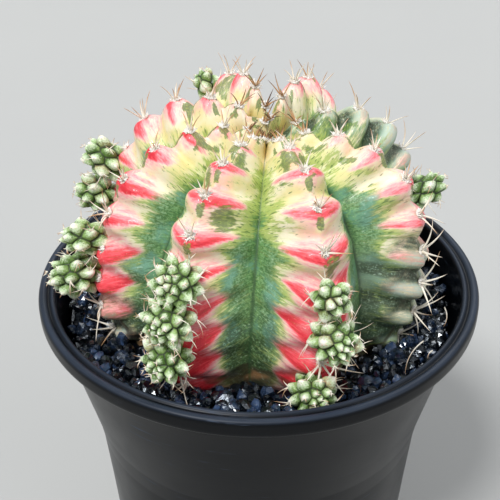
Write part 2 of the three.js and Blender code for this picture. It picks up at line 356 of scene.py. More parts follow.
# ---------------------------------------------------------------------------------------
# Shader building
# ---------------------------------------------------------------------------------------
def paint(code: str) -> tuple[float, float, float, float]:
    """A shader colour from a colour code such as 'e8dc92'."""
    channels = [int(code[i : i + 2], 16) / 255 for i in (0, 2, 4)]
    linear = [c / 12.92 if c <= 0.04045 else ((c + 0.055) / 1.055) ** 2.4 for c in channels]
    return (*linear, 1.0)


@dataclass(frozen=True)
class Field:
    """A number that a material works out at each place, with its arithmetic."""

    graph: "Graph"
    socket: Socket

    def __add__(self, other: "Value") -> "Field":
        """The sum."""
        return self.graph.math("ADD", self, other)

    def __sub__(self, other: "Value") -> "Field":
        """The difference."""
        return self.graph.math("SUBTRACT", self, other)

    def __rsub__(self, other: float) -> "Field":
        """The difference from a number."""
        return self.graph.math("SUBTRACT", other, self)

    def __mul__(self, other: "Value") -> "Field":
        """The product."""
        return self.graph.math("MULTIPLY", self, other)

    def swing(self, size: float) -> "Field":
        """A noise as a swing about 0, from minus half of `size` to half of it."""
        return (self - 0.5) * size

    def ramp(self, low: "Value", high: "Value") -> "Field":
        """Rises smoothly from 0 to 1 as the number goes from low to high."""
        smoothly = {"interpolation_type": "SMOOTHSTEP"}
        return self.graph.mapped(self, {"From Min": low, "From Max": high}, smoothly)

    def span(self, low: float, high: float) -> "Field":
        """A number from 0 to 1 spread from low to high."""
        return self.graph.mapped(self, {"To Min": low, "To Max": high}, {})


Value = Union[float, Field]
Tint = Union[str, Socket]


class Graph:
    """Adds nodes to a material or node group and links them."""

    def __init__(self, tree: bpy.types.NodeTree) -> None:
        """Works on this tree."""
        self.tree = tree

    def node(self, kind: str, inputs: Optional[dict] = None, **settings: object) -> bpy.types.Node:
        """A new node of a kind, with its inputs fed and its settings."""
        made = self.tree.nodes.new(kind)
        for key, value in settings.items():
            setattr(made, key, value)
        for title, value in (inputs or {}).items():
            self.feed(made.inputs[title], value)
        return made

    def feed(self, target: Socket, value: object) -> None:
        """Links a field or a socket to an input, or sets the input to a number or a colour."""
        if isinstance(value, Field):
            value = value.socket
        if isinstance(value, Socket):
            self.tree.links.new(value, target)
        else:
            target.default_value = paint(value) if isinstance(value, str) else value

    def math(self, operation: str, a: Value, b: Value) -> Field:
        """The result of a Math node."""
        return Field(self, self.node("ShaderNodeMath", {0: a, 1: b}, operation=operation).outputs[0])

    def mapped(self, value: Value, ends: dict[str, Value], settings: dict[str, str]) -> Field:
        """The result of a Map Range node between these ends."""
        node = self.node("ShaderNodeMapRange", {"Value": value, **ends}, **settings)
        return Field(self, node.outputs["Result"])

    def lay(self, tint: Tint, coat: Tint, mask: Field, share: float = 1.0) -> Socket:
        """A colour laid over another one.

        Args:
            tint: the colour below, a colour code or a socket.
            coat: the colour above.
            mask: where it lies, from 0 to 1.
            share: how much of the colour below it covers there.

        Returns:
            The mixed colour.
        """
        factor = mask if share == 1.0 else mask * share
        return self.node("ShaderNodeMix", {0: factor, 6: tint, 7: coat}, data_type="RGBA").outputs[2]

    def noise(self, place: Socket, detail: float, rough: float) -> Field:
        """The value of a Noise Texture."""
        inputs = {"Vector": place, "Scale": 1.0, "Detail": detail, "Roughness": rough}
        return Field(self, self.node("ShaderNodeTexNoise", inputs).outputs["Fac"])

    def place(self) -> Socket:
        """Object coordinates, which are the frame's metres."""
        return self.node("ShaderNodeTexCoord").outputs["Object"]

    def turned(self, place: Socket, angle: float, scale: tuple[float, float, float]) -> Socket:
        """A place turned about Z, in degrees, and then stretched."""
        turn = {"Vector": place, "Rotation": (0, 0, math.radians(angle))}
        aside = self.node("ShaderNodeMapping", turn).outputs[0]
        return self.node("ShaderNodeVectorMath", {0: aside, 1: scale}, operation="MULTIPLY").outputs[0]

    def parts(self, title: str) -> tuple[Field, Field, Field]:
        """The three numbers of a value stored at the points."""
        stored = self.node("ShaderNodeAttribute", attribute_name=title).outputs["Color"]
        split = self.node("ShaderNodeSeparateColor", {0: stored}).outputs
        return Field(self, split[0]), Field(self, split[1]), Field(self, split[2])

    def bump(self, height: Field, strength: float, distance: float) -> Socket:
        """The normal of a small relief, its depth in millimetres."""
        inputs = {"Height": height, "Strength": strength, "Distance": distance * MM}
        return self.node("ShaderNodeBump", inputs).outputs["Normal"]

    def grit(self, coarse: float, fine: float) -> tuple[Field, Field, Field]:
        """Places the natural grit in a material.

        Args:
            coarse: coarse lumps per metre.
            fine: fine grains per metre.

        Returns:
            The coarse value, the fine value and the relief.
        """
        inputs = {"Place": self.place(), "Coarse Scale": coarse, "Fine Scale": fine}
        given = self.node("ShaderNodeGroup", inputs, node_tree=GRIT).outputs
        return Field(self, given["Coarse"]), Field(self, given["Fine"]), Field(self, given["Relief"])


class MaterialGraph(Graph):
    """The graph of a new material, round its Principled BSDF."""

    def __init__(self, name: str) -> None:
        """Starts the material."""
        self.material = bpy.data.materials.new(name)
        self.material.use_nodes = True
        super().__init__(self.material.node_tree)

    def dressed(self, tint: Tint, rough: Value, more: dict[str, object]) -> bpy.types.Material:
        """Feeds the Principled BSDF and gives the material.

        Args:
            tint: the base colour.
            rough: the roughness.
            more: its other inputs, by their titles.

        Returns:
            The material.
        """
        inputs = self.tree.nodes["Principled BSDF"].inputs
        for title, value in {"Base Color": tint, "Roughness": rough, **more}.items():
            self.feed(inputs[title], value)
        return self.material


def grit_group() -> bpy.types.NodeTree:
    """A node group with the fine unevenness that every natural surface here shares.

    Returns:
        The group: from a place, a coarse size and a fine size, it gives a coarse and a fine
        value and their mix as a relief.
    """
    tree = bpy.data.node_groups.new("natural_grit", "ShaderNodeTree")
    sockets = tree.interface
    sockets.new_socket("Place", in_out="INPUT", socket_type="NodeSocketVector")
    for title in ("Coarse Scale", "Fine Scale"):
        sockets.new_socket(title, in_out="INPUT", socket_type="NodeSocketFloat")
    for title in ("Coarse", "Fine", "Relief"):
        sockets.new_socket(title, in_out="OUTPUT", socket_type="NodeSocketFloat")
    graph = Graph(tree)
    given = graph.node("NodeGroupInput").outputs
    values = []
    for title, detail in (("Coarse Scale", 3.0), ("Fine Scale", 4.0)):
        inputs = {"Vector": given["Place"], "Scale": given[title], "Detail": detail}
        values.append(Field(graph, graph.node("ShaderNodeTexNoise", inputs).outputs["Fac"]))
    coarse, fine = values
    graph.node("NodeGroupOutput", {"Coarse": coarse, "Fine": fine, "Relief": coarse * 0.6 + fine * 0.4})
    return tree


GRIT = grit_group()


# ---------------------------------------------------------------------------------------
# Finishes
# ---------------------------------------------------------------------------------------
SKIN_VALUES = ("pigment", "relief", "marking", "zone")


@dataclass(frozen=True)
class SkinMaps:
    """The numbers by which the skin's colours are laid.

    Those up to `crown` are stored at the points. `streak`, `strand` and `dash` are noises
    drawn out along the ridges, `cloud` and `speck` are coarse and fine grit, and `fringe` is
    the streaky unevenness of every border.
    """

    red: Field
    green: Field
    deep: Field
    height: Field
    notch: Field
    cork: Field
    ridge: Field
    mark: Field
    warm: Field
    grey: Field
    shade: Field
    crown: Field
    streak: Field
    strand: Field
    dash: Field
    cloud: Field
    speck: Field
    fringe: Field


@dataclass(frozen=True)
class SkinFinish:
    """The waxy variegated skin of the plant."""

    cream: str = "f8f0d2"
    straw: str = "efe3a2"
    gold: str = "d0b557"
    peach: str = "facfb0"
    ivory: str = "fdf3e2"
    blush: str = "fdc9c2"
    pink: str = "fd929c"
    coral: str = "f64e58"
    crimson: str = "d41e30"
    lime: str = "cdd68c"
    leaf: str = "9db552"
    olive: str = "54753a"
    jade: str = "92ba8c"
    deep: str = "4e7a4a"
    forest: str = "31552f"
    teal: str = "72a694"
    grass: str = "6a9a45"
    painted_shade_green: str = "203320"
    mist: str = "c6dacb"
    ash: str = "839884"
    umber: str = "463726"
    cork: str = "a0764f"

    def material(self) -> bpy.types.Material:
        """Builds the material from the values at the points and the map `flank`."""
        graph = MaterialGraph("cactus_skin")
        flank = graph.node("ShaderNodeUVMap", uv_map="flank").outputs[0]
        stored = [part for title in SKIN_VALUES for part in graph.parts(title)]
        streak = graph.noise(graph.turned(flank, 0, (0.22, 1.25, 1)), 3.0, 0.6)
        strand = graph.noise(graph.turned(flank, 6, (0.7, 3.6, 1)), 3.0, 0.65)
        dash = graph.noise(graph.turned(flank, 10, (0.5, 1.9, 1)), 1.5, 0.5)
        cloud, speck, relief = graph.grit(150, 1900)
        fringe = streak.swing(1.1) + strand.swing(0.6)
        maps = SkinMaps(*stored, streak, strand, dash, cloud, speck, fringe)

        tint = self.ground(graph, maps)
        tint = graph.lay(tint, self.gold, maps.crown, 0.8)
        tint = self.flecks(graph, tint, maps)
        tint = self.tongues(graph, tint, maps)
        tint = self.furrows(graph, tint, maps)
        olive = graph.lay(self.olive, self.leaf, strand.ramp(0.45, 0.7))
        tint = graph.lay(tint, olive, (maps.mark + fringe * 1.2).ramp(0.3, 0.6), 0.85)
        rind = maps.cork + cloud.swing(1.2)
        tint = graph.lay(tint, self.umber, rind.ramp(0.25, 0.75), 0.7)
        tint = graph.lay(tint, self.cork, rind.ramp(0.85, 1.2), 0.6)
        tint = graph.lay(tint, self.ivory, speck.ramp(0.62, 0.72), 0.14)
        # Painted shade: dark green along the bottom of each furrow.
        tint = graph.lay(tint, self.forest, (1.0 - maps.height).ramp(0.955, 1.0), 0.55)
        looks = {
            "Normal": graph.bump(relief, 0.6, 0.35),
            "Subsurface Weight": 0.1,
            "Subsurface Radius": (1.0, 0.5, 0.25),
            "Subsurface Scale": 1.0 * MM,
            "Coat Weight": 0.08,
        }
        return graph.dressed(tint, speck.span(0.32, 0.58), looks)

    def ground(self, graph: Graph, maps: SkinMaps) -> Socket:
        """The pale ground: cream, lime towards the furrows, peach on the crests, and a painted pale
        highlight along the ridges.
        """
        tint = graph.lay(self.cream, self.straw, maps.cloud.ramp(0.4, 0.66))
        veil = maps.green + maps.cloud.swing(0.7)
        tint = graph.lay(tint, self.lime, veil.ramp(0.15, 0.8), 0.8)
        glow = maps.warm + maps.streak.swing(0.9)
        tint = graph.lay(tint, self.peach, glow.ramp(0.12, 0.65), 0.8)
        tint = graph.lay(tint, self.blush, glow.ramp(0.55, 1.1), 0.75)
        # Painted highlight: a pale line along the top of each ridge.
        return graph.lay(tint, self.ivory, maps.ridge.ramp(0.1, 0.8) * maps.streak.ramp(0.3, 0.5), 0.85)

    def tongues(self, graph: Graph, tint: Tint, maps: SkinMaps) -> Socket:
        """The red tongues, which darken from a pink fringe through coral to crimson."""
        ragged = maps.red + maps.fringe * maps.red.ramp(0.0, 0.3)
        for colour, low, high, share in (
            (self.blush, 0.0, 0.26, 0.85),
            (self.pink, 0.15, 0.5, 0.9),
            (self.coral, 0.42, 0.76, 0.95),
            (self.crimson, 0.72, 1.05, 0.9),
        ):
            tint = graph.lay(tint, colour, ragged.ramp(low, high), share)
        return tint

    def flecks(self, graph: Graph, tint: Tint, maps: SkinMaps) -> Socket:
        """Elongated green flecks, crowded near the furrows and scattered up the flanks."""
        low = 0.92 - maps.green
        value = maps.streak + maps.strand.swing(0.5)
        tint = graph.lay(tint, self.lime, value.ramp(low - 0.2, low + 0.15), 0.7)
        tint = graph.lay(tint, self.leaf, value.ramp(low - 0.03, low + 0.09), 0.6)
        few = 0.7 - maps.green * 0.24
        return graph.lay(tint, self.olive, maps.dash.ramp(few, few + 0.08), 0.75)

    def furrows(self, graph: Graph, tint: Tint, maps: SkinMaps) -> Socket:
        """The green of the furrows: a feathery mass speckled light and dark, with painted shade and painted
        ridge highlights laid over it.
        """
        low = 1.0 - maps.height
        mass = maps.deep + maps.fringe * 1.3 + maps.cloud.swing(0.8)
        grain = maps.speck + maps.strand.swing(1.1)
        # Painted highlight: pale mint on the ridge tops of the grey ribs.
        pale = maps.grey * maps.notch.ramp(0.55, 0.1) * maps.height.ramp(0.3, 0.6)
        core = graph.lay(self.deep, self.jade, grain.ramp(0.4, 0.62), 0.8)
        for colour, mask, share in (
            (self.teal, maps.cloud.ramp(0.48, 0.6), 0.75),
            (self.forest, maps.fringe.ramp(0.04, -0.16), 0.5),
            (self.grass, low.ramp(0.72, 0.98) * grain.ramp(0.35, 0.6), 0.6),
            (self.ash, maps.grey, 0.7),
            # painted shade: darker towards the base and in the grooves between the ridges
            (self.painted_shade_green, maps.shade * grain.ramp(0.72, 0.46), 0.9),
            (self.painted_shade_green, maps.shade, 0.5),
            (self.mist, grain.ramp(0.66, 0.85), 0.4),
            (self.mist, pale, 0.75),
            # painted shade along the bottom of each furrow
            (self.painted_shade_green, low.ramp(0.93, 1.0), 0.5),
        ):
            core = graph.lay(core, colour, mask, share)
        tint = graph.lay(tint, self.grass, mass.ramp(0.1, 0.7), 0.4)
        return graph.lay(tint, core, mass.ramp(0.25, 0.95), 0.95)


@dataclass(frozen=True)
class OffsetFinish:
    """The skin of the offsets: green tubercles with pale faces and painted shade in the gaps between them.
    """

    leaf: str = "92b168"
    moss: str = "52732e"
    # painted shade between the knobs
    gap: str = "1a230e"
    mint: str = "d8eac4"
    cream: str = "f8f6e6"
    rose: str = "d8a98e"

    def material(self) -> bpy.types.Material:
        """Builds the material from the value `knob`: tip, gap, where shade is painted, and a number for each
        knob.
        """
        graph = MaterialGraph("offset_skin")
        tip, gap, lot = graph.parts("knob")
        cloud, speck, relief = graph.grit(500, 2600)
        reach = tip + (speck.swing(1.1) + lot * 0.3)
        tint = graph.lay(self.leaf, self.moss, cloud.ramp(0.4, 0.62))
        tint = graph.lay(tint, self.moss, lot.ramp(0.45, 0.1), 0.7)
        tint = graph.lay(tint, self.rose, lot.ramp(0.85, 1.0), 0.5)
        tint = graph.lay(tint, self.mint, reach.ramp(0.35, 0.8), 0.85)
        tint = graph.lay(tint, self.cream, reach.ramp(0.8, 1.1))
        # Painted shade: dark in the gaps between the knobs.
        tint = graph.lay(tint, self.gap, gap.ramp(0.25, 1.0), 0.9)
        looks = {
            "Normal": graph.bump(relief, 0.5, 0.2),
            "Subsurface Weight": 0.1,
            "Subsurface Radius": (0.6, 1.0, 0.3),
            "Subsurface Scale": 0.8 * MM,
        }
        return graph.dressed(tint, speck.span(0.3, 0.55), looks)


@dataclass(frozen=True)
class SpineFinish:
    """Horny spines, cream with a tan to brown tip."""

    cream: str = "f6eede"
    tan: str = "c99b6d"
    brown: str = "4e2c1c"

    def material(self) -> bpy.types.Material:
        """Builds the material from the value `spine`: share along the spine, and tone."""
        graph = MaterialGraph("dry_spine")
        along, tone, _ = graph.parts("spine")
        cloud, speck, relief = graph.grit(420, 2400)
        reach = along * 0.6 + cloud.swing(0.5) + tone * 1.1
        tint = graph.lay(self.cream, self.tan, reach.ramp(0.35, 0.85))
        tint = graph.lay(tint, self.brown, reach.ramp(0.85, 1.4))
        return graph.dressed(tint, speck.span(0.4, 0.65), {"Normal": graph.bump(relief, 0.3, 0.05)})


@dataclass(frozen=True)
class WoolFinish:
    """The felt of the areoles."""

    white: str = "fdfaf4"
    shade: str = "d8ccba"

    def material(self) -> bpy.types.Material:
        """Builds the material."""
        graph = MaterialGraph("areole_wool")
        cloud, speck, relief = graph.grit(900, 5200)
        tint = graph.lay(self.white, self.shade, cloud.ramp(0.45, 0.7))
        looks = {"Normal": graph.bump(relief, 0.9, 0.3), "Sheen Weight": 0.4}
        return graph.dressed(tint, speck.span(0.85, 1.0), looks)


@dataclass(frozen=True)
class PotFinish:
    """Black injection-moulded plastic with a satin sheen, fine scuffs and painted highlight streaks on the
    rim.

    `lip` is the height in millimetres above which the rim gets painted bluish highlight streaks.
    """

    black: str = "04060a"
    scuff_and_highlight_grey: str = "56647a"
    lip: float = 94.1

    def material(self) -> bpy.types.Material:
        """Builds the material."""
        graph = MaterialGraph("pot_plastic")
        cloud, _, relief = graph.grit(90, 2600)
        scuff = graph.noise(graph.turned(graph.place(), 0, (60, 60, 1400)), 3.0, 0.6)
        scuff_and_highlight = scuff.ramp(0.6, 0.74) * cloud.ramp(0.5, 0.66)
        height = Field(graph, graph.node("ShaderNodeSeparateXYZ", {0: graph.place()}).outputs[2])
        # Painted highlight: streaky bluish grey along the top of the rim.
        edge = height.ramp(self.lip * MM, (self.lip + 0.9) * MM)
        scuff_and_highlight = graph.math("MAXIMUM", scuff_and_highlight, edge * scuff.span(0.15, 0.75))
        # the grey is partly real scuffs and partly the painted rim highlight
        tint = graph.lay(self.black, self.scuff_and_highlight_grey, scuff_and_highlight, 0.6)
        gloss = cloud.span(0.24, 0.4) + scuff_and_highlight * 0.25
        looks = {"Normal": graph.bump(relief, 0.12, 0.08), "Specular IOR Level": 0.18}
        return graph.dressed(tint, gloss, looks)


@dataclass(frozen=True)
class StoneFinish:
    """Black angular gravel, glossy as if wet."""

    black: str = "04070d"
    slate_and_reflection_blue: str = "4a648e"

    def material(self) -> bpy.types.Material:
        """Builds the material from the value `grain`, one number for each grain."""
        graph = MaterialGraph("black_gravel")
        lot, _, _ = graph.parts("grain")
        cloud, speck, relief = graph.grit(700, 3200)
        # Grain-to-grain tone: partly the stones' own grey, partly a painted bluish reflection.
        tint = graph.lay(self.black, self.slate_and_reflection_blue, (lot * 0.45 + cloud * 0.5).ramp(0.4, 1.05))
        looks = {
            "Normal": graph.bump(relief, 0.6, 0.25),
            "Specular IOR Level": 0.85,
            "Specular Tint": (0.8, 0.9, 1.0, 1.0),
            "Coat Weight": 0.7,
            "Coat Roughness": 0.12,
        }
        return graph.dressed(tint, speck.span(0.1, 0.34), looks)


@dataclass(frozen=True)
class MixFinish:
    """Dark crumbly potting mix."""

    peat: str = "2b211a"
    bark: str = "5a4330"

    def material(self) -> bpy.types.Material:
        """Builds the material."""
        graph = MaterialGraph("potting_mix")
        cloud, speck, relief = graph.grit(260, 1500)
        tint = graph.lay(self.peat, self.bark, speck.ramp(0.5, 0.68))
        return graph.dressed(tint, cloud.span(0.8, 1.0), {"Normal": graph.bump(relief, 1.0, 1.2)})


@dataclass(frozen=True)
class FloorFinish:
    """A plain pale studio floor."""

    pale: str = "b0b1b0"
    bright: str = "b5b6b4"
    rough: float = 0.85

    def material(self) -> bpy.types.Material:
        """Builds the material."""
        graph = MaterialGraph("studio_floor")
        cloud, _, _ = graph.grit(6, 40)
        return graph.dressed(graph.lay(self.pale, self.bright, cloud), self.rough, {})


@dataclass
class Palette:
    """Every material of the scene, each built once."""

    skin: bpy.types.Material
    offset: bpy.types.Material
    spine: bpy.types.Material
    wool: bpy.types.Material
    pot: bpy.types.Material
    stone: bpy.types.Material
    mix: bpy.types.Material
    floor: bpy.types.Material

    @classmethod
    def built(cls) -> "Palette":
        """Builds them all."""
        finishes = (SkinFinish, OffsetFinish, SpineFinish, WoolFinish, PotFinish, StoneFinish)
        return cls(*(finish().material() for finish in (*finishes, MixFinish, FloorFinish)))


# ---------------------------------------------------------------------------------------
# The plant
# ---------------------------------------------------------------------------------------
class Slot(Enum):
    """The record's material slots."""

    POT = "pot_plastic"
    MIX = "potting_mix"
    GRAVEL = "gravel"
    FLESH = "flesh"
    OFFSET = "offset_flesh"
    SPINE = "spine"


def settle(piece: bpy.types.Object, slot: Slot, *nodes: str) -> bpy.types.Object:
    """Joins a finished piece to the model, reports it, and hides the nodes it stands for."""
    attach(piece, "root")
    if nodes:
        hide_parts(*nodes)
    log.info("%s: %d faces, stands for %s", piece.name, len(piece.data.polygons), nodes or "no node")
    return piece


@dataclass(frozen=True)
class Rib:
    """One rib of the plant.

    `first` is the step of its innermost areole, `spacing` the steps from one areole to the
    next, and `lift` its rise at the crown. `offsets` are the areoles that carry an offset.
    `blush` is how red its flanks are at the crown, the waist and the base, and `verdure` how
    green they are there.
    """

    name: str
    azimuth: float
    first: float
    spacing: float
    lift: float
    offsets: tuple[int, ...]
    blush: tuple[float, float, float]
    verdure: tuple[float, float, float]


RIBS = (
    Rib("front_left", -26.5, 0.36, 0.96, 0.5, (6, 7, 8), (0.40, 1.05, 1.1), (0.28, 0.3, 0.15)),
    Rib("front_right", 19.5, 0.20, 1.05, 0.0, (6, 7), (0.40, 1.0, 1.1), (0.28, 0.3, 0.15)),
    Rib("right", 67.5, 0.50, 1.06, -0.4, (), (0.25, 0.85, -0.4), (0.3, 0.5, 1.35)),
    Rib("back_right", 112.5, 0.10, 1.10, 0.0, (6,), (0.10, 0.75, 0.30), (0.74, 0.74, 0.80)),
    Rib("rear_right", 155.0, 0.20, 1.08, 5.0, (), (0.85, 0.75, 0.50), (0.40, 0.35, 0.45)),
    Rib("rear_left", 202.0, 0.40, 1.08, 7.0, (4,), (0.85, 0.9, 0.70), (0.3, 0.25, 0.30)),
    Rib("back_left", 248.0, 0.15, 1.10, 4.5, (5, 6), (0.85, 1.05, 0.85), (0.2, 0.2, 0.15)),
    Rib("left", 291.0, 0.85, 1.00, 1.2, (6, 7), (0.85, 1.25, 0.1), (0.22, 0.2, 0.95)),
)


@dataclass(frozen=True)
class Patch:
    """A dark green patch of the skin.

    `turn` counts ribs round the plant from the first one's crest and `step` the steps from
    the crown, and `wide` and `long` are its half extents in ribs and in steps.
    """

    turn: float
    step: float
    wide: float
    long: float


PATCHES = (
    Patch(0.2, 4.62, 0.12, 0.34),
    Patch(0.13, 2.75, 0.08, 0.32),
    Patch(-0.17, 3.65, 0.07, 0.34),
    Patch(0.85, 2.65, 0.07, 0.36),
    Patch(1.74, 2.3, 0.09, 0.4),
    Patch(1.06, 5.9, 0.06, 0.34),
    Patch(-0.74, 2.6, 0.07, 0.34),
    Patch(2.75, 2.2, 0.09, 0.45),
)


@dataclass(frozen=True)
class SkinPlace:
    """Places on the skin, told by the ribs and the areoles.

    `height` goes from 0 in the furrow to 1 on the crest. `phase` counts areoles along the
    slanted ridges, `own` is the number of the nearest tongue, `middle` is how far that lies
    below its areole, and `draw` holds its three random numbers. `drift` is a slow wander and
    `patch` marks wide patches. `blush` and `verdure` are how red and how green the rib is.
    """

    turn: np.ndarray
    step: np.ndarray
    height: np.ndarray
    phase: np.ndarray
    own: np.ndarray
    middle: np.ndarray
    draw: np.ndarray
    drift: np.ndarray
    patch: np.ndarray
    blush: np.ndarray
    verdure: np.ndarray


@dataclass
class CactusBody:
    """The ribbed globe.

    The crest and furrow profiles are rows of radius and height above the rim, from the crown
    to the base, and share their steps. `relief` is half the height of a crest's tubercles,
    and `onsets` are the steps at which each furrow turns deep green. `lean` is how far the
    plant leans for each millimetre of height, and `crease` how deep its creases are.
    """

    rim_height: float
    crest: tuple[tuple[float, float], ...] = (
        (0.5, 36.8), (6, 39.6), (12, 41.4), (20, 41.2), (28, 38.2), (35, 32),
        (38.6, 24), (40.5, 15), (41.3, 7), (40.6, -1), (37.6, -8.5), (33, -14.5),
    )
    furrow: tuple[tuple[float, float], ...] = (
        (0.3, 35.8), (3.5, 35.8), (8.5, 35.2), (14.5, 33.5), (20.5, 30.5), (25.5, 26),
        (29, 20.5), (31.5, 14), (33, 7), (33.3, -0.5), (32, -8), (29.5, -14.5),
    )
    relief: tuple[float, ...] = (0.4, 0.9, 1.3, 1.25, 1.0, 0.9, 0.9, 0.9, 0.85, 0.75, 0.6, 0.2)
    onsets: tuple[float, ...] = (4.7, 3.7, 3.4, 2.8, 3.0, 4.0, 4.0, 3.9)
    lean: float = 0.055
    columns_per_rib: int = 56
    rows: int = 214
    crease: float = 0.22

    @property
    def last(self) -> int:
        """The step at the base."""
        return len(self.crest) - 1

    def polar(self, azimuth: np.ndarray, radius: np.ndarray, height: np.ndarray) -> np.ndarray:
        """The place at an azimuth in degrees, a radius and a height above the rim.

        The plant leans a little towards +X, in proportion to the height.
        """
        angle = np.radians(azimuth)
        x = radius * np.sin(angle) + self.lean * np.maximum(height, 0)
        parts = np.broadcast_arrays(x, -radius * np.cos(angle), self.rim_height + height)
        return np.stack(parts, -1)

    def traits(self, name: str, rib: np.ndarray) -> np.ndarray:
        """A property of the ribs, looked up for an array of rib numbers."""
        return np.array([getattr(r, name) for r in RIBS])[rib % len(RIBS)]

    def phase(self, rib: np.ndarray, step: np.ndarray) -> np.ndarray:
        """How far a step is past an areole, in spacings."""
        return (step - self.traits("first", rib)) / self.traits("spacing", rib)

    def chin(self, step: np.ndarray) -> np.ndarray:
        """How far below an areole a crest stands out most, in spacings."""
        return mix(0.06, 0.24, smooth((step - 3) / 4))

    def bulge(self, rib: np.ndarray, step: np.ndarray) -> np.ndarray:
        """How far a crest stands out, from -1 in a notch to 1 on a chin.

        It is a cosine of the phase, sharpened in its notches, whose top lies a little below
        each areole: close to it at the crown, and a quarter of the spacing lower at the base.
        """
        wave = (1 + np.cos(2 * np.pi * (self.phase(rib, step) - self.chin(step)))) / 2
        return 2 * wave ** mix(0.6, 1.0, smooth((step - 3) / 4)) - 1

    def crest_at(self, rib: np.ndarray, step: np.ndarray) -> tuple[np.ndarray, np.ndarray]:
        """A crest's points and outward normals, as rows of radius and height."""
        curve = np.array(self.crest, float)
        near, least = 0.01, 1e-3
        step = np.clip(step, least, self.last)
        point = spline(curve, step)
        ahead = spline(curve, np.minimum(step + near, self.last))
        tangent = unit(ahead - spline(curve, np.maximum(step - near, 0)))
        normal = np.stack([-tangent[..., 1], tangent[..., 0]], -1)
        point[..., 1] += self.traits("lift", rib) * (1 - smooth(step / 8))
        height = np.interp(step, range(len(self.relief)), self.relief)
        return point + normal * (height * (self.bulge(rib, step) - 0.6))[..., None], normal

    def skin(self, turn: np.ndarray, step: np.ndarray) -> np.ndarray:
        """The skin's place at a turn, counted in ribs from crest to crest, and a step.

        Between a furrow and a crest it is the blend of the two profiles' points at that step,
        at share 1 - (1 - h^b)^a, where h goes from 0 in the furrow to 1 on the crest, a is
        how full the flank is and b how widely the furrow is scooped.
        """
        nearest = np.round(turn).astype(int)
        side = turn - nearest
        beside = nearest + np.sign(side).astype(int)
        gap = self.traits("azimuth", beside) - self.traits("azimuth", nearest)
        gap = gap - 360 * np.round(gap / 360)
        height = 1 - 2 * np.abs(side)
        azimuth = self.traits("azimuth", nearest) + np.abs(side) * gap
        scoop = mix(1.0, 1.45, smooth((step - 4) / 4))
        fullness = 1.65 + 0.25 * self.bulge(nearest, step) * smooth(step / 2)
        share = 1 - (1 - height**scoop) ** fullness
        crest, _ = self.crest_at(nearest, step)
        furrow = spline(np.array(self.furrow, float), step)
        blend = mix(furrow, crest, share[..., None])
        return self.polar(azimuth, blend[..., 0], blend[..., 1])

    def detail(self, turn: np.ndarray, step: np.ndarray) -> np.ndarray:
        """The fine relief along the skin's normal: ridges, creases, areole pits and wrinkles.

        A ridge runs from each chin towards the furrow, and is stronger where the skin is grey.
        A crease is a narrow valley between two ridges. A pit is a round dip at an areole.
        Wrinkles are a slow wander that grows towards the base.
        """
        nearest = np.round(turn).astype(int)
        height = 1 - 2 * np.abs(turn - nearest)
        phase = self.phase(nearest, step) + self.slant(height, step) - self.chin(step)
        notch = np.abs(phase - np.round(phase - 0.5) - 0.5)
        grey = smooth((self.sector("verdure", nearest, step) - 0.5) / 0.25)
        window = smooth((height - 0.12) / 0.35) * smooth((1 - height) / 0.15)
        fold = mix(0.36, 0.95, grey) * np.cos(2 * np.pi * phase) * window * smooth((step - 2) / 2)
        depth = self.crease * (1 + grey)
        crease = fold - depth * np.exp(-((notch / 0.09) ** 2)) * smooth((height - 0.2) / 0.4)
        whole = self.phase(nearest, step)
        near = ((whole - np.round(whole)) / 0.14) ** 2 + ((1 - height) / 0.07) ** 2
        pit = -0.5 * np.exp(-near) * smooth((step - 0.8) / 1.2)
        wander = ripple(turn * 3.1, step * 1.6, height * 2.0, 5) * mix(0.08, 0.28, smooth((step - 7) / 4))
        return crease * smooth(step / 2.5) + pit + wander

    def sector(self, trait: str, rib: np.ndarray, step: np.ndarray) -> np.ndarray:
        """A rib's property that is given at the crown, the waist and the base."""
        table = self.traits(trait, rib)
        share = np.clip(step / self.last, 0, 1) * 2
        low = np.clip(np.floor(share).astype(int), 0, 1)[..., None]
        start = np.take_along_axis(table, low, -1)[..., 0]
        end = np.take_along_axis(table, low + 1, -1)[..., 0]
        return mix(start, end, share - low[..., 0])

    def slant(self, height: np.ndarray, step: np.ndarray) -> np.ndarray:
        """How many spacings the ridges climb from a crest towards the furrow."""
        return (1 - height) * 1.05 * smooth((step - 3.0) / 4.2)

    def place(self, turn: np.ndarray, step: np.ndarray) -> SkinPlace:
        """Works out where the points lie among the ribs and the areoles."""
        nearest = np.round(turn).astype(int)
        side = turn - nearest
        height = 1 - 2 * np.abs(side)
        drift = ripple(turn * 5.1, step * 2.2, 0.0, 12)
        patch = smooth((ripple(turn * 4.3, step * 1.7, 0.0, 13) + 0.05) / 0.6)
        phase = self.phase(nearest, step) + self.slant(height, step)
        middle = mix(0.04, 0.14, smooth((step - 3.5) / 2)) + 0.03 * drift
        own = np.round(phase - middle).astype(int)
        most = 16
        draws = np.random.default_rng(31).uniform(0, 1, (len(RIBS), 2, most, 3))
        draw = draws[nearest % len(RIBS), (side > 0).astype(int), np.clip(own, 0, most - 1)]
        blush, verdure = (self.sector(trait, nearest, step) for trait in ("blush", "verdure"))
        return SkinPlace(turn, step, height, phase, own, middle, draw, drift, patch, blush, verdure)

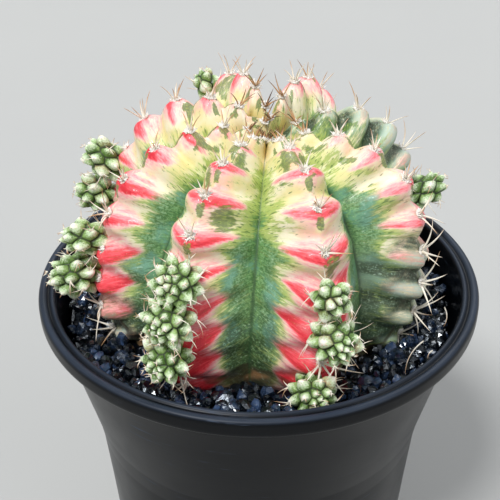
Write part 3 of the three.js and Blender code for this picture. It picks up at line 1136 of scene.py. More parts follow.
    def tongues(self, at: SkinPlace) -> tuple[np.ndarray, np.ndarray, np.ndarray]:
        """The red tongues with their halos, the painted highlight on the ridges above them, and the way
        across.

        A tongue starts on a crest beside its areole and tapers towards the furrow. It grows
        stronger from its upper edge to its lower one. The way across it is 0 at its middle and
        counts its half widths.
        """
        step, draw = at.step, at.draw
        length = mix(0.46, 0.68, draw[..., 0]) + mix(0.1, 0.14, smooth((step - 4) / 3)) + 0.06 * at.drift
        inward = at.height - (1 - length)
        taper = np.clip(inward / length, 0, 1) ** 0.6
        bold = np.clip(at.blush - 0.5, 0, 1)
        spread = mix(0.12 + 0.18 * bold, 0.2, smooth((step - 3) / 3)) + 0.34 * smooth((step - 6.0) / 2.8)
        width = spread * mix(0.8, 1.2, draw[..., 1]) * (0.2 + 0.8 * taper)
        across = (at.phase - at.middle - at.own) / np.maximum(width, 0.02)
        tongue = smooth((across + 2.0) / 2.9) * smooth((1.45 - across) / 0.7) * smooth(taper / 0.45)
        tongue = tongue * mix(0.52, 1.0, smooth(inward / mix(0.62, 0.36, smooth((step - 3) / 4))))
        strength = at.blush * mix(0.7, 1.1, draw[..., 2]) * mix(1.0, 1.18, smooth((step - 5.5) / 2))
        halo = smooth((across + 4.2) / 3.0) * smooth((3.4 - across) / 2.2) * smooth((at.height - 0.34) / 0.4)
        halo = halo * mix(0.26, 0.6, smooth((step - 6.4) / 2.6))
        red = np.maximum(tongue, halo) * strength * smooth((step - 0.8) / 1.5)
        # Painted highlight: a pale line along the ridge at each tongue's upper edge.
        ridge = np.exp(-(((across + 1.45) / 0.55) ** 2)) * smooth((at.height - 0.35) / 0.3)
        return red, ridge, across

    def green(self, at: SkinPlace, across: np.ndarray) -> np.ndarray:
        """How thickly green flecks lie: most in the furrow, and in a band under each tongue."""
        step, height = at.step, at.height
        reach = mix(0.66, 0.86, smooth((step - 3.5) / 2))
        low = smooth((reach - height + 0.14 * at.drift) / 0.62) * smooth((step - 1.6) / 1.4)
        under = smooth((across - 0.7) / 0.5) * smooth((3.4 - across) / 1.2) * smooth((height - 0.3) / 0.3)
        under = under * smooth((step - 2.5) / 1.5) * mix(0.5, 1.0, at.draw[..., 1])
        flecked = at.verdure * (0.5 + 0.6 * at.patch) * mix(1.0, 0.45, smooth((height - 0.5) / 0.3))
        return np.maximum(0.62 * low, flecked) + 0.34 * under

    def deep(self, at: SkinPlace, grey: np.ndarray, notch: np.ndarray) -> np.ndarray:
        """Where the skin is deep green: in the furrows from their onsets down, and where grey."""
        onset = np.array(self.onsets)[np.floor(at.turn).astype(int) % len(RIBS)]
        past = at.step - onset
        rise = 0.14 * smooth((past + 1.7) / 1.2) + 0.28 * smooth(past / 0.7)
        deep = smooth((rise + 0.17 - at.height + 0.08 * at.drift) / 0.38) * smooth((past + 1.5) / 1.5)
        return np.maximum(deep, grey * mix(0.62, 1.0, notch) * smooth((at.height - 0.1) / 0.3))

    def marks(self, at: SkinPlace) -> np.ndarray:
        """The dark marks: under the areoles of the upper crests, in blotches, and the patches."""
        step, height = at.step, at.height
        below = at.phase - at.own
        mark = smooth((0.24 - np.abs(below - 0.36)) / 0.16) * smooth((height - 0.90) / 0.06)
        mark = mark * smooth((6.4 - step) / 1.0) * mix(0.5, 1.15, at.draw[..., 1])
        least = mix(0.2, 0.5, smooth((step - 2) / 2))
        blotch = smooth((ripple(at.turn * 6.0, step * 3.0, 0.0, 14) - least) / 0.3)
        mark = mark + blotch * 0.7 * smooth((5 - step) / 2) * smooth((height - 0.35) / 0.2)
        for patch in PATCHES:
            aside = (at.turn - patch.turn + len(RIBS) / 2) % len(RIBS) - len(RIBS) / 2
            away = (aside / patch.wide) ** 2 + ((step - patch.step) / patch.long) ** 2
            mark = np.maximum(mark, 0.95 * np.exp(-away))
        return mark

    def pigment(self, turn: np.ndarray, step: np.ndarray) -> dict[str, np.ndarray]:
        """The values that the skin's finish reads, three to a title, each from 0 to 1.

        Args:
            turn: the points' turns, counted in ribs.
            step: their steps.

        Returns:
            How red, green and deep green the skin is; how far up the flank, how near to a
            notch and how corky it is; its painted ridge highlights, dark marks and warmth; and how
            grey, how much painted shade it has and how near to the crown's furrows it is.
        """
        at = self.place(turn, step)
        height, drift = at.height, at.drift
        red, ridge, across = self.tongues(at)
        blush = np.clip(at.blush, 0, 1)
        warm = blush * smooth((height - 0.42) / 0.45) * mix(0.3, 0.95, at.patch)
        green = self.green(at, across) - 0.45 * np.clip(red, 0, 1)
        wave = (np.cos(2 * np.pi * (at.phase - self.chin(step))) + 1) / 2
        grey = smooth((at.verdure - 0.5) / 0.25)
        # Painted shade: darker towards the base, less on the chins, and in the grooves of the grey ribs.
        shade = smooth((step - 6.7 + 0.6 * drift) / 2.3) * mix(1.0, 0.6, wave)
        shade = np.maximum(shade, grey * smooth((0.62 - wave) / 0.45))
        crown = smooth((2.6 - step) / 1.6) * smooth((0.65 - height) / 0.5)
        cork = smooth((step - 8.9 + 0.5 * drift) / 1.2) * smooth((0.95 - height + 0.2 * drift) / 0.5)
        values = (
            (red, green, self.deep(at, grey, 1 - wave)),
            (height, 1 - wave, cork),
            (ridge * blush, self.marks(at), warm),
            (grey, shade, crown),
        )
        return {title: np.clip(np.stack(three, -1), 0, 1) for title, three in zip(SKIN_VALUES, values)}

    def build(self, palette: Palette) -> bpy.types.Object:
        """Makes the globe as one closed grid with a pole at the crown and one at the base."""
        columns = self.columns_per_rib * len(RIBS)
        turn = np.arange(columns) / self.columns_per_rib
        steps = self.last * np.arange(1, self.rows + 1) / self.rows
        turn, step = np.meshgrid(turn, steps)
        points = self.skin(turn, step)
        east = np.roll(points, -1, 1) - np.roll(points, 1, 1)
        south = np.gradient(points, axis=0)
        normal = unit(np.cross(south, east))
        points = points + normal * self.detail(turn, step)[..., None]
        poles = self.polar(np.zeros(2), np.zeros(2), np.array([self.furrow[0][1], self.crest[-1][1]]))
        values = {
            title: np.concatenate([value.reshape(-1, 3), value[[0, -1], 0]])
            for title, value in self.pigment(turn, step).items()
        }
        surface = capped(np.concatenate([points.reshape(-1, 3), poles]), columns, values)
        surface.flank = self.flank(steps)
        return settle(surface.piece("cactus_globe", palette.skin), Slot.FLESH, "cactus_body")

    def flank(self, steps: np.ndarray) -> np.ndarray:
        """Each quad's corners in about millimetres: up from the furrow, and along the ridges.

        Both sides of a furrow count upwards from it. The second number follows the slant of
        the ridges, and each flank has a range of its own, so no two share a pattern.
        """
        half = self.columns_per_rib // 2
        column = np.arange(self.columns_per_rib * len(RIBS))
        flank = column // half
        inside = column % half
        rising = flank % 2 == 1  # a turn starts on a crest, so its first half goes down
        start = np.where(rising, inside, half - inside) / half
        end = np.where(rising, inside + 1, half - inside - 1) / half
        up = np.stack([start, start, end, end], -1)[None]
        along = np.stack([steps[:-1], steps[1:], steps[1:], steps[:-1]], -1)[:, None]
        ridge = along + self.slant(up, along)
        rise, spacing, apart = 17.0, 7.5, 140.0
        across = ridge * spacing + flank[None, :, None] * apart
        return np.stack(np.broadcast_arrays(up * rise, across), -1).reshape(-1, 4, 2)

    def outline(self, height: float) -> tuple[np.ndarray, np.ndarray]:
        """The globe's azimuths and radii at a height near its base."""
        turn = np.linspace(0, len(RIBS), 320, endpoint=False)
        highest = 8.5
        grid = self.skin(*np.meshgrid(turn, np.linspace(highest, self.last, 60)))
        radius = np.hypot(grid[..., 0], grid[..., 1])
        level = np.abs(grid[..., 2] - self.rim_height - height).argmin(0)
        pick = np.arange(len(turn))
        azimuth = np.degrees(np.arctan2(grid[level, pick, 0], -grid[level, pick, 1])) % 360
        order = azimuth.argsort()
        return azimuth[order], radius[level, pick][order]


@dataclass(frozen=True)
class Areole:
    """A felted spot on a crest: its place, its outward, sideways and upward directions."""

    rib: Rib
    number: int
    step: float
    root: np.ndarray
    out: np.ndarray
    side: np.ndarray
    up: np.ndarray

    def around(self, angle: np.ndarray) -> np.ndarray:
        """The directions along the skin at these angles, counted from straight up the rib."""
        return np.sin(angle)[:, None] * self.side + np.cos(angle)[:, None] * self.up


def areoles(body: CactusBody, last_step: float = 10.3) -> list[Areole]:
    """Every areole of the plant, rib by rib, from the crown to the base."""
    found = []
    for index, rib in enumerate(RIBS):
        for number in range(int((last_step - rib.first) / rib.spacing) + 1):
            step = rib.first + number * rib.spacing
            point, normal = body.crest_at(np.array(index), np.array(step))
            root = body.polar(rib.azimuth, point[0], point[1])
            foot = body.polar(rib.azimuth, point[0] - normal[0], point[1] - normal[1])
            out = unit(root - foot)
            _, side = compass(rib.azimuth)
            found.append(Areole(rib, number, step, root, out, side, np.cross(out, side)))
    return found


@dataclass
class SpineClusters:
    """The spines and felt of the areoles.

    Each areole has a few thin spines that stand up in a fan on the upper plant, and a ring of
    longer, paler ones that curve away on the lower plant. At the crown they are dark and short.
    Each areole also has a tuft of `hairs`. The clusters from `first_node` to `last_node` on a
    rib stand for nodes of their own.
    """

    spots: list[Areole]
    radius: float = 0.29
    hairs: int = 76
    hair_radius: float = 0.26
    first_node: int = 2
    last_node: int = 7

    def spines(self, spot: Areole) -> Surface:
        """The spines of one areole.

        Their directions are spread evenly round the areole, counted from straight up the rib,
        over a wider sweep on older areoles, at angles that a seeded draw unsettles.
        """
        draw = np.random.default_rng([RIBS.index(spot.rib), spot.number, 3])
        old = float(smooth(np.array((spot.step - 4.6) / 2.2)))
        young = float(smooth(np.array((2.2 - spot.step) / 1.4)))
        far = abs(math.cos(math.radians(spot.rib.azimuth / 2))) < 0.8
        count = int(draw.integers(4, 6)) + int(old > 0.5)
        sweep = mix(105, 155, old)
        angle = np.radians(np.linspace(-sweep, sweep, count) + draw.normal(0, 14, count))
        tangent = spot.around(angle)
        rise = np.array([0.0, 0.0, mix(0.45, 0.1, old)])
        spread = mix(0.7, 1.15, old) * draw.uniform(0.5, 1.4, count)
        direction = unit(spot.out + tangent * spread[:, None] + rise)
        bend = -0.16 * spot.out + 0.08 * tangent + draw.normal(0, 0.07, (count, 3))
        grown = mix(mix(4.6, 8.6, old), 3.6, young) + (1.6 if far and old < 0.5 else 0.0)
        length = grown * draw.uniform(0.65, 1.2, count)
        roots = spot.root + tangent * 0.4 + spot.out * 0.1
        tone = np.clip(mix(mix(0.24, 0.02, old), 0.85, young) + draw.normal(0, 0.12, count), 0, 1)
        width = self.radius * mix(mix(0.8, 1.0, old), 0.7, young) * draw.uniform(0.8, 1.15, count)
        return bristles(roots, direction, bend, length, width, tone)

    def felt(self, spot: Areole) -> Surface:
        """The felt of one areole: a tuft of very short, very fine hairs."""
        draw = np.random.default_rng([RIBS.index(spot.rib), spot.number, 4])
        count = self.hairs
        size = mix(0.75, 1.0, float(smooth(np.array(spot.step / 2))))
        angle = draw.uniform(0, 2 * np.pi, count)
        reach = np.sqrt(draw.uniform(0, 1, count)) * 0.9 * size
        tangent = spot.around(angle)
        roots = spot.root + tangent * reach[:, None] - spot.out * 0.4
        lean = tangent * (0.9 * reach)[:, None]
        direction = unit(spot.out + lean + draw.normal(0, 0.3, (count, 3)))
        bend = draw.normal(0, 0.3, (count, 3))
        length = draw.uniform(0.75, 1.2, count) * size
        return bristles(roots, direction, bend, length, np.full(count, self.hair_radius), angle * 0, 4, 3)

    def build(self, palette: Palette) -> None:
        """Makes a piece for each cluster that is a node, and one for each rib's other ones."""
        for rib in RIBS:
            own = [s for s in self.spots if s.rib is rib]
            others = []
            for spot in own:
                if spot.number in rib.offsets:
                    continue
                if self.first_node <= spot.number <= self.last_node:
                    name = f"{rib.name}_{spot.number}"
                    cluster = self.spines(spot).piece(f"spine_cluster_{name}", palette.spine)
                    settle(cluster, Slot.SPINE, f"spines_{name}")
                else:
                    others.append(self.spines(spot))
            settle(joined(others).piece(f"small_spines_{rib.name}", palette.spine), Slot.SPINE)
            felt = joined([self.felt(s) for s in own])
            settle(felt.piece(f"areole_felt_{rib.name}", palette.wool), Slot.SPINE)


@dataclass(frozen=True)
class Offset:
    """A young plant on a crest.

    Its place is an azimuth, a radius and a height above the rim. Its size is half its width
    and half its length along its axis, which points up by `tilt` degrees. `seed` sets how its
    knobs differ from those of the others.
    """

    name: str
    place: tuple[float, float, float]
    size: tuple[float, float]
    tilt: float
    seed: int

    @property
    def scale(self) -> np.ndarray:
        """Its half sizes along its own three axes."""
        return np.array([self.size[0], self.size[0], self.size[1]])


OFFSETS = (
    Offset("offset_front_left_upper", (-26, 41.5, 22.7), (5.2, 4.8), 35, 1),
    Offset("offset_front_left_middle", (-26.8, 44.2, 14.4), (5.4, 5.4), 12, 2),
    Offset("offset_front_left_lower", (-27, 44.2, 4.1), (5.2, 5.5), 5, 3),
    Offset("offset_front_right_upper", (19, 42.4, 20.4), (3.9, 4.8), 40, 4),
    Offset("offset_front_right_lower", (20.5, 44.1, 10.6), (5.1, 5.5), 12, 5),
    Offset("offset_front_right_base", (16, 42.9, -4.7), (5.1, 6), 25, 6),
    Offset("offset_left_upper", (-74, 42.9, 17.8), (3.9, 5.5), 15, 7),
    Offset("offset_left_lower", (-73.5, 45.7, 8.3), (4.9, 6.5), 5, 8),
    Offset("offset_back_left_upper", (-108, 41.8, 25.6), (4.3, 5.8), 30, 9),
    Offset("offset_back_left_lower", (-107, 44.3, 15.8), (4.5, 5.7), 10, 10),
    Offset("offset_back_right", (110, 44.8, 15.1), (4, 6.1), 20, 11),
    Offset("offset_rear_left", (-150.5, 31.5, 39.4), (3.2, 3.6), 55, 12),
)


@dataclass
class OffsetPlants:
    """The young plants: small globes of angular knobs, tiny at the growing tip.

    `share_tip` and `share_side` are the solid angles that one knob covers at the tip and on
    the sides of a globe whose half width, squared, is `usual_area`.
    """

    body: CactusBody
    columns: int = 120
    rows: int = 76
    share_tip: float = 0.10
    share_side: float = 0.46
    usual_area: float = 27.0
    spine_radius: float = 0.16

    def knob_centres(self, offset: Offset) -> np.ndarray:
        """Directions of the knobs, each turned from the last by about the golden angle.

        The polar angle of knob number n is where the number of knobs that fit between it and
        the tip reaches n, because a ring's solid angle grows with its sine.
        """
        polar = np.linspace(0, math.pi, 600)
        share = mix(self.share_tip, self.share_side, smooth(polar / 1.1)) * self.usual_area
        share = share / offset.size[0] ** 2
        fitted = np.cumsum(2 * np.pi * np.sin(polar) / share) * (polar[1] - polar[0])
        index = np.arange(int(fitted[-1])) + 0.5
        draw = np.random.default_rng([offset.seed, 5])
        away = np.interp(index, fitted, polar) + draw.normal(0, 0.035, index.size)
        angle = index * math.pi * (3 - math.sqrt(5)) + draw.normal(0, 0.08, index.size) + offset.seed
        return directions(away, angle)

    def globe(self, offset: Offset) -> tuple[np.ndarray, np.ndarray, dict[str, np.ndarray]]:
        """The globe's grid of directions, its reach in each, and its values.

        The reach rises from the gap between two knobs, where the nearest and the second
        nearest centre are equally far, along a flat facet to the knob's own point. Each knob
        stands out by an amount of its own.
        """
        latitude = np.pi * np.arange(1, self.rows + 1) / (self.rows + 1)
        longitude = np.linspace(0, 2 * np.pi, self.columns, endpoint=False)
        latitude, longitude = np.meshgrid(latitude, longitude, indexing="ij")
        ways = directions(latitude, longitude).reshape(-1, 3)
        ways = np.concatenate([ways, [[0, 0, 1.0], [0, 0, -1.0]]])
        centres = self.knob_centres(offset)
        angles = np.arccos(np.clip(ways @ centres.T, -1, 1))
        order = np.sort(angles, 1)
        nearest = angles.argmin(1)
        span = np.sort(np.arccos(np.clip(centres @ centres.T, -1, 1)), 1)[:, 1:4].mean(1)[nearest]
        inside = np.clip((order[:, 1] - order[:, 0]) / span, 0, 1)
        lot = np.random.default_rng(offset.seed).uniform(0, 1, len(centres))[nearest]
        steep = np.minimum(inside / 0.3, 1)
        point = np.exp(-((order[:, 0] / (0.34 * span)) ** 2))
        size = np.minimum(span / 0.62, 1.15)
        reach = 0.74 + size * (0.05 * steep + 0.32 * inside + 0.06 * point + 0.16 * (lot - 0.5) * steep)
        tip = 0.55 * inside + 0.45 * point + 0.25 * (1 - np.minimum(span / 0.6, 1))
        # the second value marks the gaps between knobs, where the offsets' finish paints shade
        value = np.stack([np.clip(tip, 0, 1), 1 - smooth(inside / 0.34), lot], -1)
        return ways, reach, {"knob": value}

    def stand(self, offset: Offset) -> tuple[np.ndarray, np.ndarray]:
        """An offset's centre, and the matrix that turns its own axes into the frame's."""
        azimuth, radius, height = offset.place
        centre = self.body.polar(np.array(azimuth), np.array(radius), np.array(height))
        tilt = math.radians(offset.tilt)
        outward, side = compass(azimuth)
        axis = outward * math.cos(tilt) + np.array([0, 0, math.sin(tilt)])
        return centre, np.stack([side, np.cross(axis, side), axis], -1)

    def spines(self, offset: Offset, centre: np.ndarray, turn: np.ndarray) -> Surface:
        """A few short curved spines on each knob that faces away from the plant."""
        draw = np.random.default_rng([offset.seed, int(offset.place[1] * 10)])
        knobs = self.knob_centres(offset)
        knobs = np.repeat(knobs[knobs[:, 2] > -0.55], 3, 0)
        count = len(knobs)
        roots = centre + (knobs * 1.06 * offset.scale) @ turn.T
        out = unit(knobs / offset.scale) @ turn.T
        sideways = unit(np.cross(out, draw.normal(size=(count, 3))))
        direction = unit(out + sideways * draw.uniform(0.4, 1.5, count)[:, None])
        edge = smooth((0.85 - knobs[:, 2]) / 0.9)
        length = draw.uniform(0.8, 1.7, count) * mix(0.9, 3.1, edge)
        bend = -0.25 * out + draw.normal(0, 0.12, (count, 3))
        tone = draw.uniform(0.0, 0.35, count)
        return bristles(roots, direction, bend, length, np.full(count, self.spine_radius), tone, 4, 5)

    def build(self, palette: Palette) -> None:
        """Makes each globe and its spines."""
        for offset in OFFSETS:
            ways, reach, values = self.globe(offset)
            centre, turn = self.stand(offset)
            points = centre + (ways * reach[:, None] * offset.scale) @ turn.T
            globe = capped(points, self.columns, values).piece(f"young_{offset.name}", palette.offset)
            settle(globe, Slot.OFFSET, offset.name)
            spines = self.spines(offset, centre, turn)
            settle(spines.piece(f"young_spines_{offset.name}", palette.spine), Slot.SPINE)


# ---------------------------------------------------------------------------------------
# The pot and what fills it
# ---------------------------------------------------------------------------------------
@dataclass
class NurseryPot:
    """A round pot with a turned-down lip, a soft shoulder, a raised floor and drain holes.

    `outer` is the wall's outside, as rows of radius and height. `lip` goes over the rim, as
    rows of how far inside the widest radius and how far under the top each point is.
    """

    height: float
    rim: float
    wall: float = 1.2
    foot: float = 2.0
    segments: int = 192
    drains: int = 6
    outer: tuple[tuple[float, float], ...] = (
        (39.6, 0.8), (41.9, 36), (43.1, 52), (44, 58), (45.6, 65), (48.9, 79), (51.7, 90.5),
    )
    lip: tuple[tuple[float, float], ...] = (
        (0.9, 4.5), (0.2, 4.3), (0, 3.5), (0, 1), (0.4, 0.2), (1.3, 0), (1.9, 0.3),
        (2.3, 0.8), (2.8, 0.7), (3.2, 0.2), (3.8, 0.3), (4.3, 1.1),
    )
    drain_radius: float = 3.0
    drain_circle: float = 24.0

    def build(self, palette: Palette) -> None:
        """Turns the pot's profile and drills its floor."""
        inner = [(r - self.wall, z) for r, z in self.outer[:0:-1]]
        lip = [(self.rim - inside, self.height - under) for inside, under in self.lip]
        floor = self.foot + self.wall
        corners = [(0, self.foot), (31.5, self.foot), (33.5, 0), (38.8, 0), *self.outer, *lip, *inner]
        corners += [(38.6, floor + 1), (37.6, floor), (0, floor)]
        surface = revolved(softened(corners, 0.45), self.segments)
        pot = surface.piece("plastic_pot", palette.pot)
        self.drill(pot, floor)
        settle(pot, Slot.POT, "pot")

    def drill(self, pot: bpy.types.Object, floor: float) -> None:
        """Cuts the drain holes, on a circle round the middle of the floor."""
        angle = np.arange(self.drains) * 2 * np.pi / self.drains
        radius, middle = self.drain_radius, floor - self.wall / 2
        corners = np.array([(0, -3), (radius, -3), (radius, 3), (0, 3)]) + [0, middle]
        drill = revolved(corners, 32)
        shifts = self.drain_circle * np.stack([np.cos(angle), np.sin(angle), angle * 0], -1)
        drills = [Surface(drill.points + shift, drill.quads, drill.triangles) for shift in shifts]
        tool = joined(drills).piece("drill", pot.data.materials[0])
        cut = pot.modifiers.new("drains", "BOOLEAN")
        cut.object = tool
        cut.solver = "EXACT"
        bpy.context.view_layer.update()
        drilled = pot.evaluated_get(bpy.context.evaluated_depsgraph_get())
        result = bpy.data.meshes.new_from_object(drilled)
        pot.modifiers.clear()
        pot.data = result
        bpy.data.objects.remove(tool)
        bpy.context.view_layer.objects.active = pot
        pot.select_set(True)
        bpy.ops.object.shade_smooth_by_angle(angle=math.radians(40))
        pot.select_set(False)


@dataclass
class PottingMix:
    """The block of potting mix that fills the pot up to the gravel.

    `depth` is how far its top lies under the rim, and `rough` how uneven its surface is.
    """

    rim_height: float
    depth: float = 15.0
    rough: float = 0.35
    segments: int = 144

    def build(self, palette: Palette) -> None:
        """Turns the block and lets a wander roughen it.

        Each point moves inwards by up to about twice `rough`.
        """
        top = self.rim_height - self.depth
        corners = [(0, 3.9), (37.0, 3.9), (38.0, 5), (40.0, 36), (41.2, 52), (43.5, 65), (46.8, top - 1)]
        corners += [(46.2, top - 0.4), (0, top - 0.4)]
        profile = np.array(corners, float)
        along = np.concatenate([[0], np.cumsum(np.linalg.norm(np.diff(profile, axis=0), axis=1))])
        fine = np.linspace(0, along[-1], 130)
        rows = np.stack([np.interp(fine, along, profile[:, i]) for i in range(2)], -1)
        surface = revolved(rows, self.segments)
        rough = ripple(*(surface.points / 2.2).T, 21)[:, None]
        middle = np.array([0, 0, top / 2])
        surface.points = surface.points + unit(surface.points - middle) * self.rough * (rough - 1)
        settle(surface.piece("potting_mix_block", palette.mix), Slot.MIX, "potting_mix")


@dataclass
class GravelDressing:
    """A bed of angular grains round the plant.

    `depth` is how far it lies under the rim, `outer` its radius, `pitch` how far apart the
    grains are, and `unrest` how far each one strays, in pitches. Each is cut by `facets`
    planes.
    """

    body: CactusBody
    rim_height: float
    depth: float = 8.0
    outer: float = 49.0
    pitch: float = 2.8
    unrest: float = 0.32
    facets: int = 9

    def sites(self, draw: np.random.Generator, level: float) -> np.ndarray:
        """Grain centres on an unsettled triangular lattice, clear of the plant and the wall."""
        count = int(2 * self.outer / self.pitch) + 4
        column, row = np.meshgrid(np.arange(count), np.arange(count))
        x = (column + 0.5 * (row % 2) - count / 2) * self.pitch
        y = (row - count / 2) * self.pitch * 0.87
        x, y = x.ravel(), y.ravel()
        x = x + draw.uniform(-self.unrest, self.unrest, x.size) * self.pitch
        y = y + draw.uniform(-self.unrest, self.unrest, y.size) * self.pitch
        azimuth = np.degrees(np.arctan2(x, -y)) % 360
        radius = np.hypot(x, y)
        edge = np.interp(azimuth, *self.body.outline(-self.depth), period=360)
        clear = (radius > edge + 0.5) & (radius < self.outer - 1.0)
        for offset in OFFSETS:
            centre = self.body.polar(*(np.array(v) for v in offset.place))
            if offset.place[2] < offset.size[0] - self.depth + 2:
                clear &= np.hypot(x - centre[0], y - centre[1]) > offset.size[0] * 0.85
        z = self.rim_height + level + draw.uniform(-0.45, 0.45, x.size)
        return np.stack([x, y, z], -1)[clear]

    def grains(self, draw: np.random.Generator, sites: np.ndarray) -> Surface:
        """A faceted grain at each site.

        A grain's reach in a direction is the least of 1 and, for each of its random planes,
        the distance at which that direction meets the plane. It is then stretched and turned.
        """
        ball = bmesh.new()
        bmesh.ops.create_icosphere(ball, subdivisions=2, radius=1)
        ways = np.array([v.co for v in ball.verts])
        faces = np.array([[v.index for v in f.verts] for f in ball.faces])
        ball.free()
        count = len(sites)
        planes = unit(draw.normal(size=(count, self.facets, 3)))
        offsets = draw.uniform(0.52, 0.86, (count, self.facets, 1))
        facing = np.einsum("gpk,vk->gpv", planes, ways)
        level, far = 0.05, 9
        met = np.where(facing > level, offsets / np.maximum(facing, level), far)
        reach = np.minimum(1, met.min(1))
        stretch = draw.uniform(0.8, 1.25, (count, 1, 3)) * draw.uniform(1.2, 2.05, (count, 1, 1))
        shape = ways[None] * reach[..., None] * stretch
        axes, _ = np.linalg.qr(draw.normal(size=(count, 3, 3)))
        axes *= np.sign(np.linalg.det(axes))[:, None, None]
        points = np.einsum("gvk,gjk->gvj", shape, axes) + sites[:, None]
        shift = (np.arange(count) * len(ways))[:, None, None]
        lot = np.repeat(draw.uniform(0, 1, count), len(ways))[:, None]
        triangles = (faces[None] + shift).reshape(-1, 3)
        return Surface(points.reshape(-1, 3), np.zeros((0, 4), int), triangles, {"grain": lot})

    def build(self, palette: Palette) -> None:
        """Makes the bed that carries the grains, and two layers of grains."""
        draw = np.random.default_rng(8)
        azimuth = np.linspace(0, 360, 240, endpoint=False)
        tuck, gap = 0.6, 1.2
        inner = np.interp(azimuth, *self.body.outline(-self.depth - 2), period=360) - tuck
        rings = []
        top, bottom = -self.depth - 1.7, -14.65
        for share, height in ((0, bottom), (0, top), (0.5, top), (1, top), (1, bottom), (0.5, bottom)):
            radius = mix(inner, self.outer - gap, share)
            rings.append(self.body.polar(azimuth, radius, np.full(azimuth.size, height)))
        bed = np.stack(rings)
        count = len(bed)
        index = np.arange(count * azimuth.size).reshape(count, -1)
        a, b = index, np.roll(index, -1, 1)
        c, d = np.roll(a, -1, 0), np.roll(b, -1, 0)
        quads = np.stack([a, c, d, b], -1).reshape(-1, 4)
        tone = np.zeros((bed.size // 3, 1))
        base = Surface(bed.reshape(-1, 3), quads, np.zeros((0, 3), int), {"grain": tone}).outwards()
        layers = [base]
        for level in (-self.depth - 1.9, -self.depth - 0.5):
            layers.append(self.grains(draw, self.sites(draw, level)).outwards())
        made = joined(layers).piece("gravel_grains", palette.stone, rounded=False)
        settle(made, Slot.GRAVEL, "gravel_top_dressing")


@dataclass(frozen=True)
class LooseSpine:
    """A shed spine on the gravel, from one azimuth and radius to another, with a bow."""

    name: str
    start: tuple[float, float]
    end: tuple[float, float]
    bow: float


LOOSE_SPINES = (
    LooseSpine("loose_spine_long", (63, 44.3), (46, 46.6), 1.2),
    LooseSpine("loose_spine_side", (82, 47.2), (72, 47.4), -0.7),
    LooseSpine("loose_spine_short", (60, 47.4), (56, 47.7), 0.4),
)


@dataclass
class ShedSpines:
    """The dry spines that lie on the gravel."""

    body: CactusBody
    level: float = -6.4

    def build(self, palette: Palette) -> None:
        """Makes each one as a curved cone, whose bend is twice its bow at the middle."""
        for loose in LOOSE_SPINES:
            start = self.body.polar(*(np.array(v, float) for v in (*loose.start, self.level)))
            end = self.body.polar(*(np.array(v, float) for v in (*loose.end, self.level)))
            length = float(np.linalg.norm(end - start))
            middle = unit((start + end) * [1, 1, 0])
            bend = middle * loose.bow * 4 / length
            direction = (end - start) / length - bend
            spine = bristles(
                start[None], direction[None], bend[None], np.array([length]),
                np.array([0.2]), np.array([0.2]), 6, 24,
            )
            settle(spine.piece(f"shed_{loose.name}", palette.spine), Slot.SPINE, loose.name)


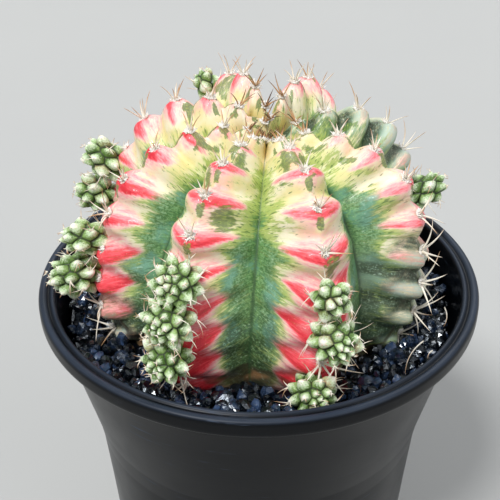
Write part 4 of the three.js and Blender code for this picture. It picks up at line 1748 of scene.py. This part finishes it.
# ---------------------------------------------------------------------------------------
# The studio
# ---------------------------------------------------------------------------------------
@dataclass
class Studio:
    """The camera, the lights and the floor."""

    rim_height: float
    lens: float = 68.13
    eye: tuple[float, float, float] = (0.0, -198.087, 135.505)
    aim: tuple[float, float, float] = (-2.0755, 0.0, 6.5889)
    roll: float = -0.396

    def camera(self) -> None:
        """Places the camera; the eye and the aim are counted from the middle of the rim."""
        lift = Vector((0, 0, self.rim_height))
        eye, aim = Vector(self.eye) + lift, Vector(self.aim) + lift
        look = (aim - eye).normalized()
        right = look.cross(Vector((0, 0, 1))).normalized()
        up = right.cross(look)
        angle = math.radians(self.roll)
        tilted = right * math.cos(angle) + up * math.sin(angle)
        over = up * math.cos(angle) - right * math.sin(angle)
        data = bpy.data.cameras.new("camera")
        data.lens = self.lens
        data.clip_start = 0.01
        camera = placed("camera", data)
        turn = Matrix((tilted, over, -look)).transposed().to_4x4()
        camera.matrix_world = Matrix.Translation(eye * MM) @ turn
        bpy.context.scene.camera = camera

    def lamp(self, name: str, side: tuple[float, float, float], width: float, power: float) -> None:
        """Adds a soft, distant light.

        Args:
            name: the light's name.
            side: the direction that it comes from.
            width: how wide it looks from the plant, in degrees.
            power: its strength, in watts per square metre.
        """
        data = bpy.data.lights.new(name, "SUN")
        data.angle = math.radians(width)
        data.energy = power
        light = placed(name, data)
        light.rotation_euler = (-Vector(side)).to_track_quat("-Z", "Y").to_euler()

    def build(self, palette: Palette) -> None:
        """Adds the lights, the pale surroundings and the floor."""
        self.lamp("key", side=(-0.3, -0.4, 0.8), width=16, power=2.75)
        self.lamp("fill", side=(0.65, -0.35, 0.45), width=40, power=0.7)
        self.lamp("back", side=(0.1, 0.6, 0.7), width=30, power=0.9)
        world = bpy.data.worlds.new("studio")
        world.use_nodes = True
        sky = world.node_tree.nodes["Background"].inputs
        sky["Color"].default_value = (0.82, 0.85, 0.9, 1)
        sky["Strength"].default_value = 0.45
        bpy.context.scene.world = world
        bpy.context.scene.view_settings.view_transform = "Standard"
        self.floor(palette)

    def floor(self, palette: Palette) -> None:
        """Adds the floor, a disc that curves up into a low wall far from the plant."""
        count = 72
        angle = np.linspace(0, 2 * np.pi, count, endpoint=False)
        rise = np.linspace(0, np.pi / 2, 10)
        flat, cove, top = 2.2, 0.8, 1.4
        radius = np.append(flat + cove * np.sin(rise), flat + cove)
        height = np.append(cove - cove * np.cos(rise), top)
        wall = [(r * math.cos(a), r * math.sin(a), h) for r, h in zip(radius, height) for a in angle]
        mesh = bpy.data.meshes.new("floor")
        faces = [list(q) for q in ring_quads(len(radius), count)] + [list(range(count))]
        mesh.from_pydata(wall, [], faces)
        mesh.materials.append(palette.floor)
        placed("floor", mesh)


def main() -> None:
    """Builds the whole scene."""
    logging.basicConfig(level=logging.INFO, format="%(message)s")
    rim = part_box("pot")[1]
    height, radius = rim.z / MM, rim.x / MM
    studio = Studio(height)
    studio.camera()
    palette = Palette.built()
    body = CactusBody(height)
    body.build(palette)
    SpineClusters(areoles(body)).build(palette)
    OffsetPlants(body).build(palette)
    NurseryPot(height, radius).build(palette)
    PottingMix(height).build(palette)
    GravelDressing(body, height).build(palette)
    ShedSpines(body).build(palette)
    studio.build(palette)


if __name__ == "__main__":
    main()
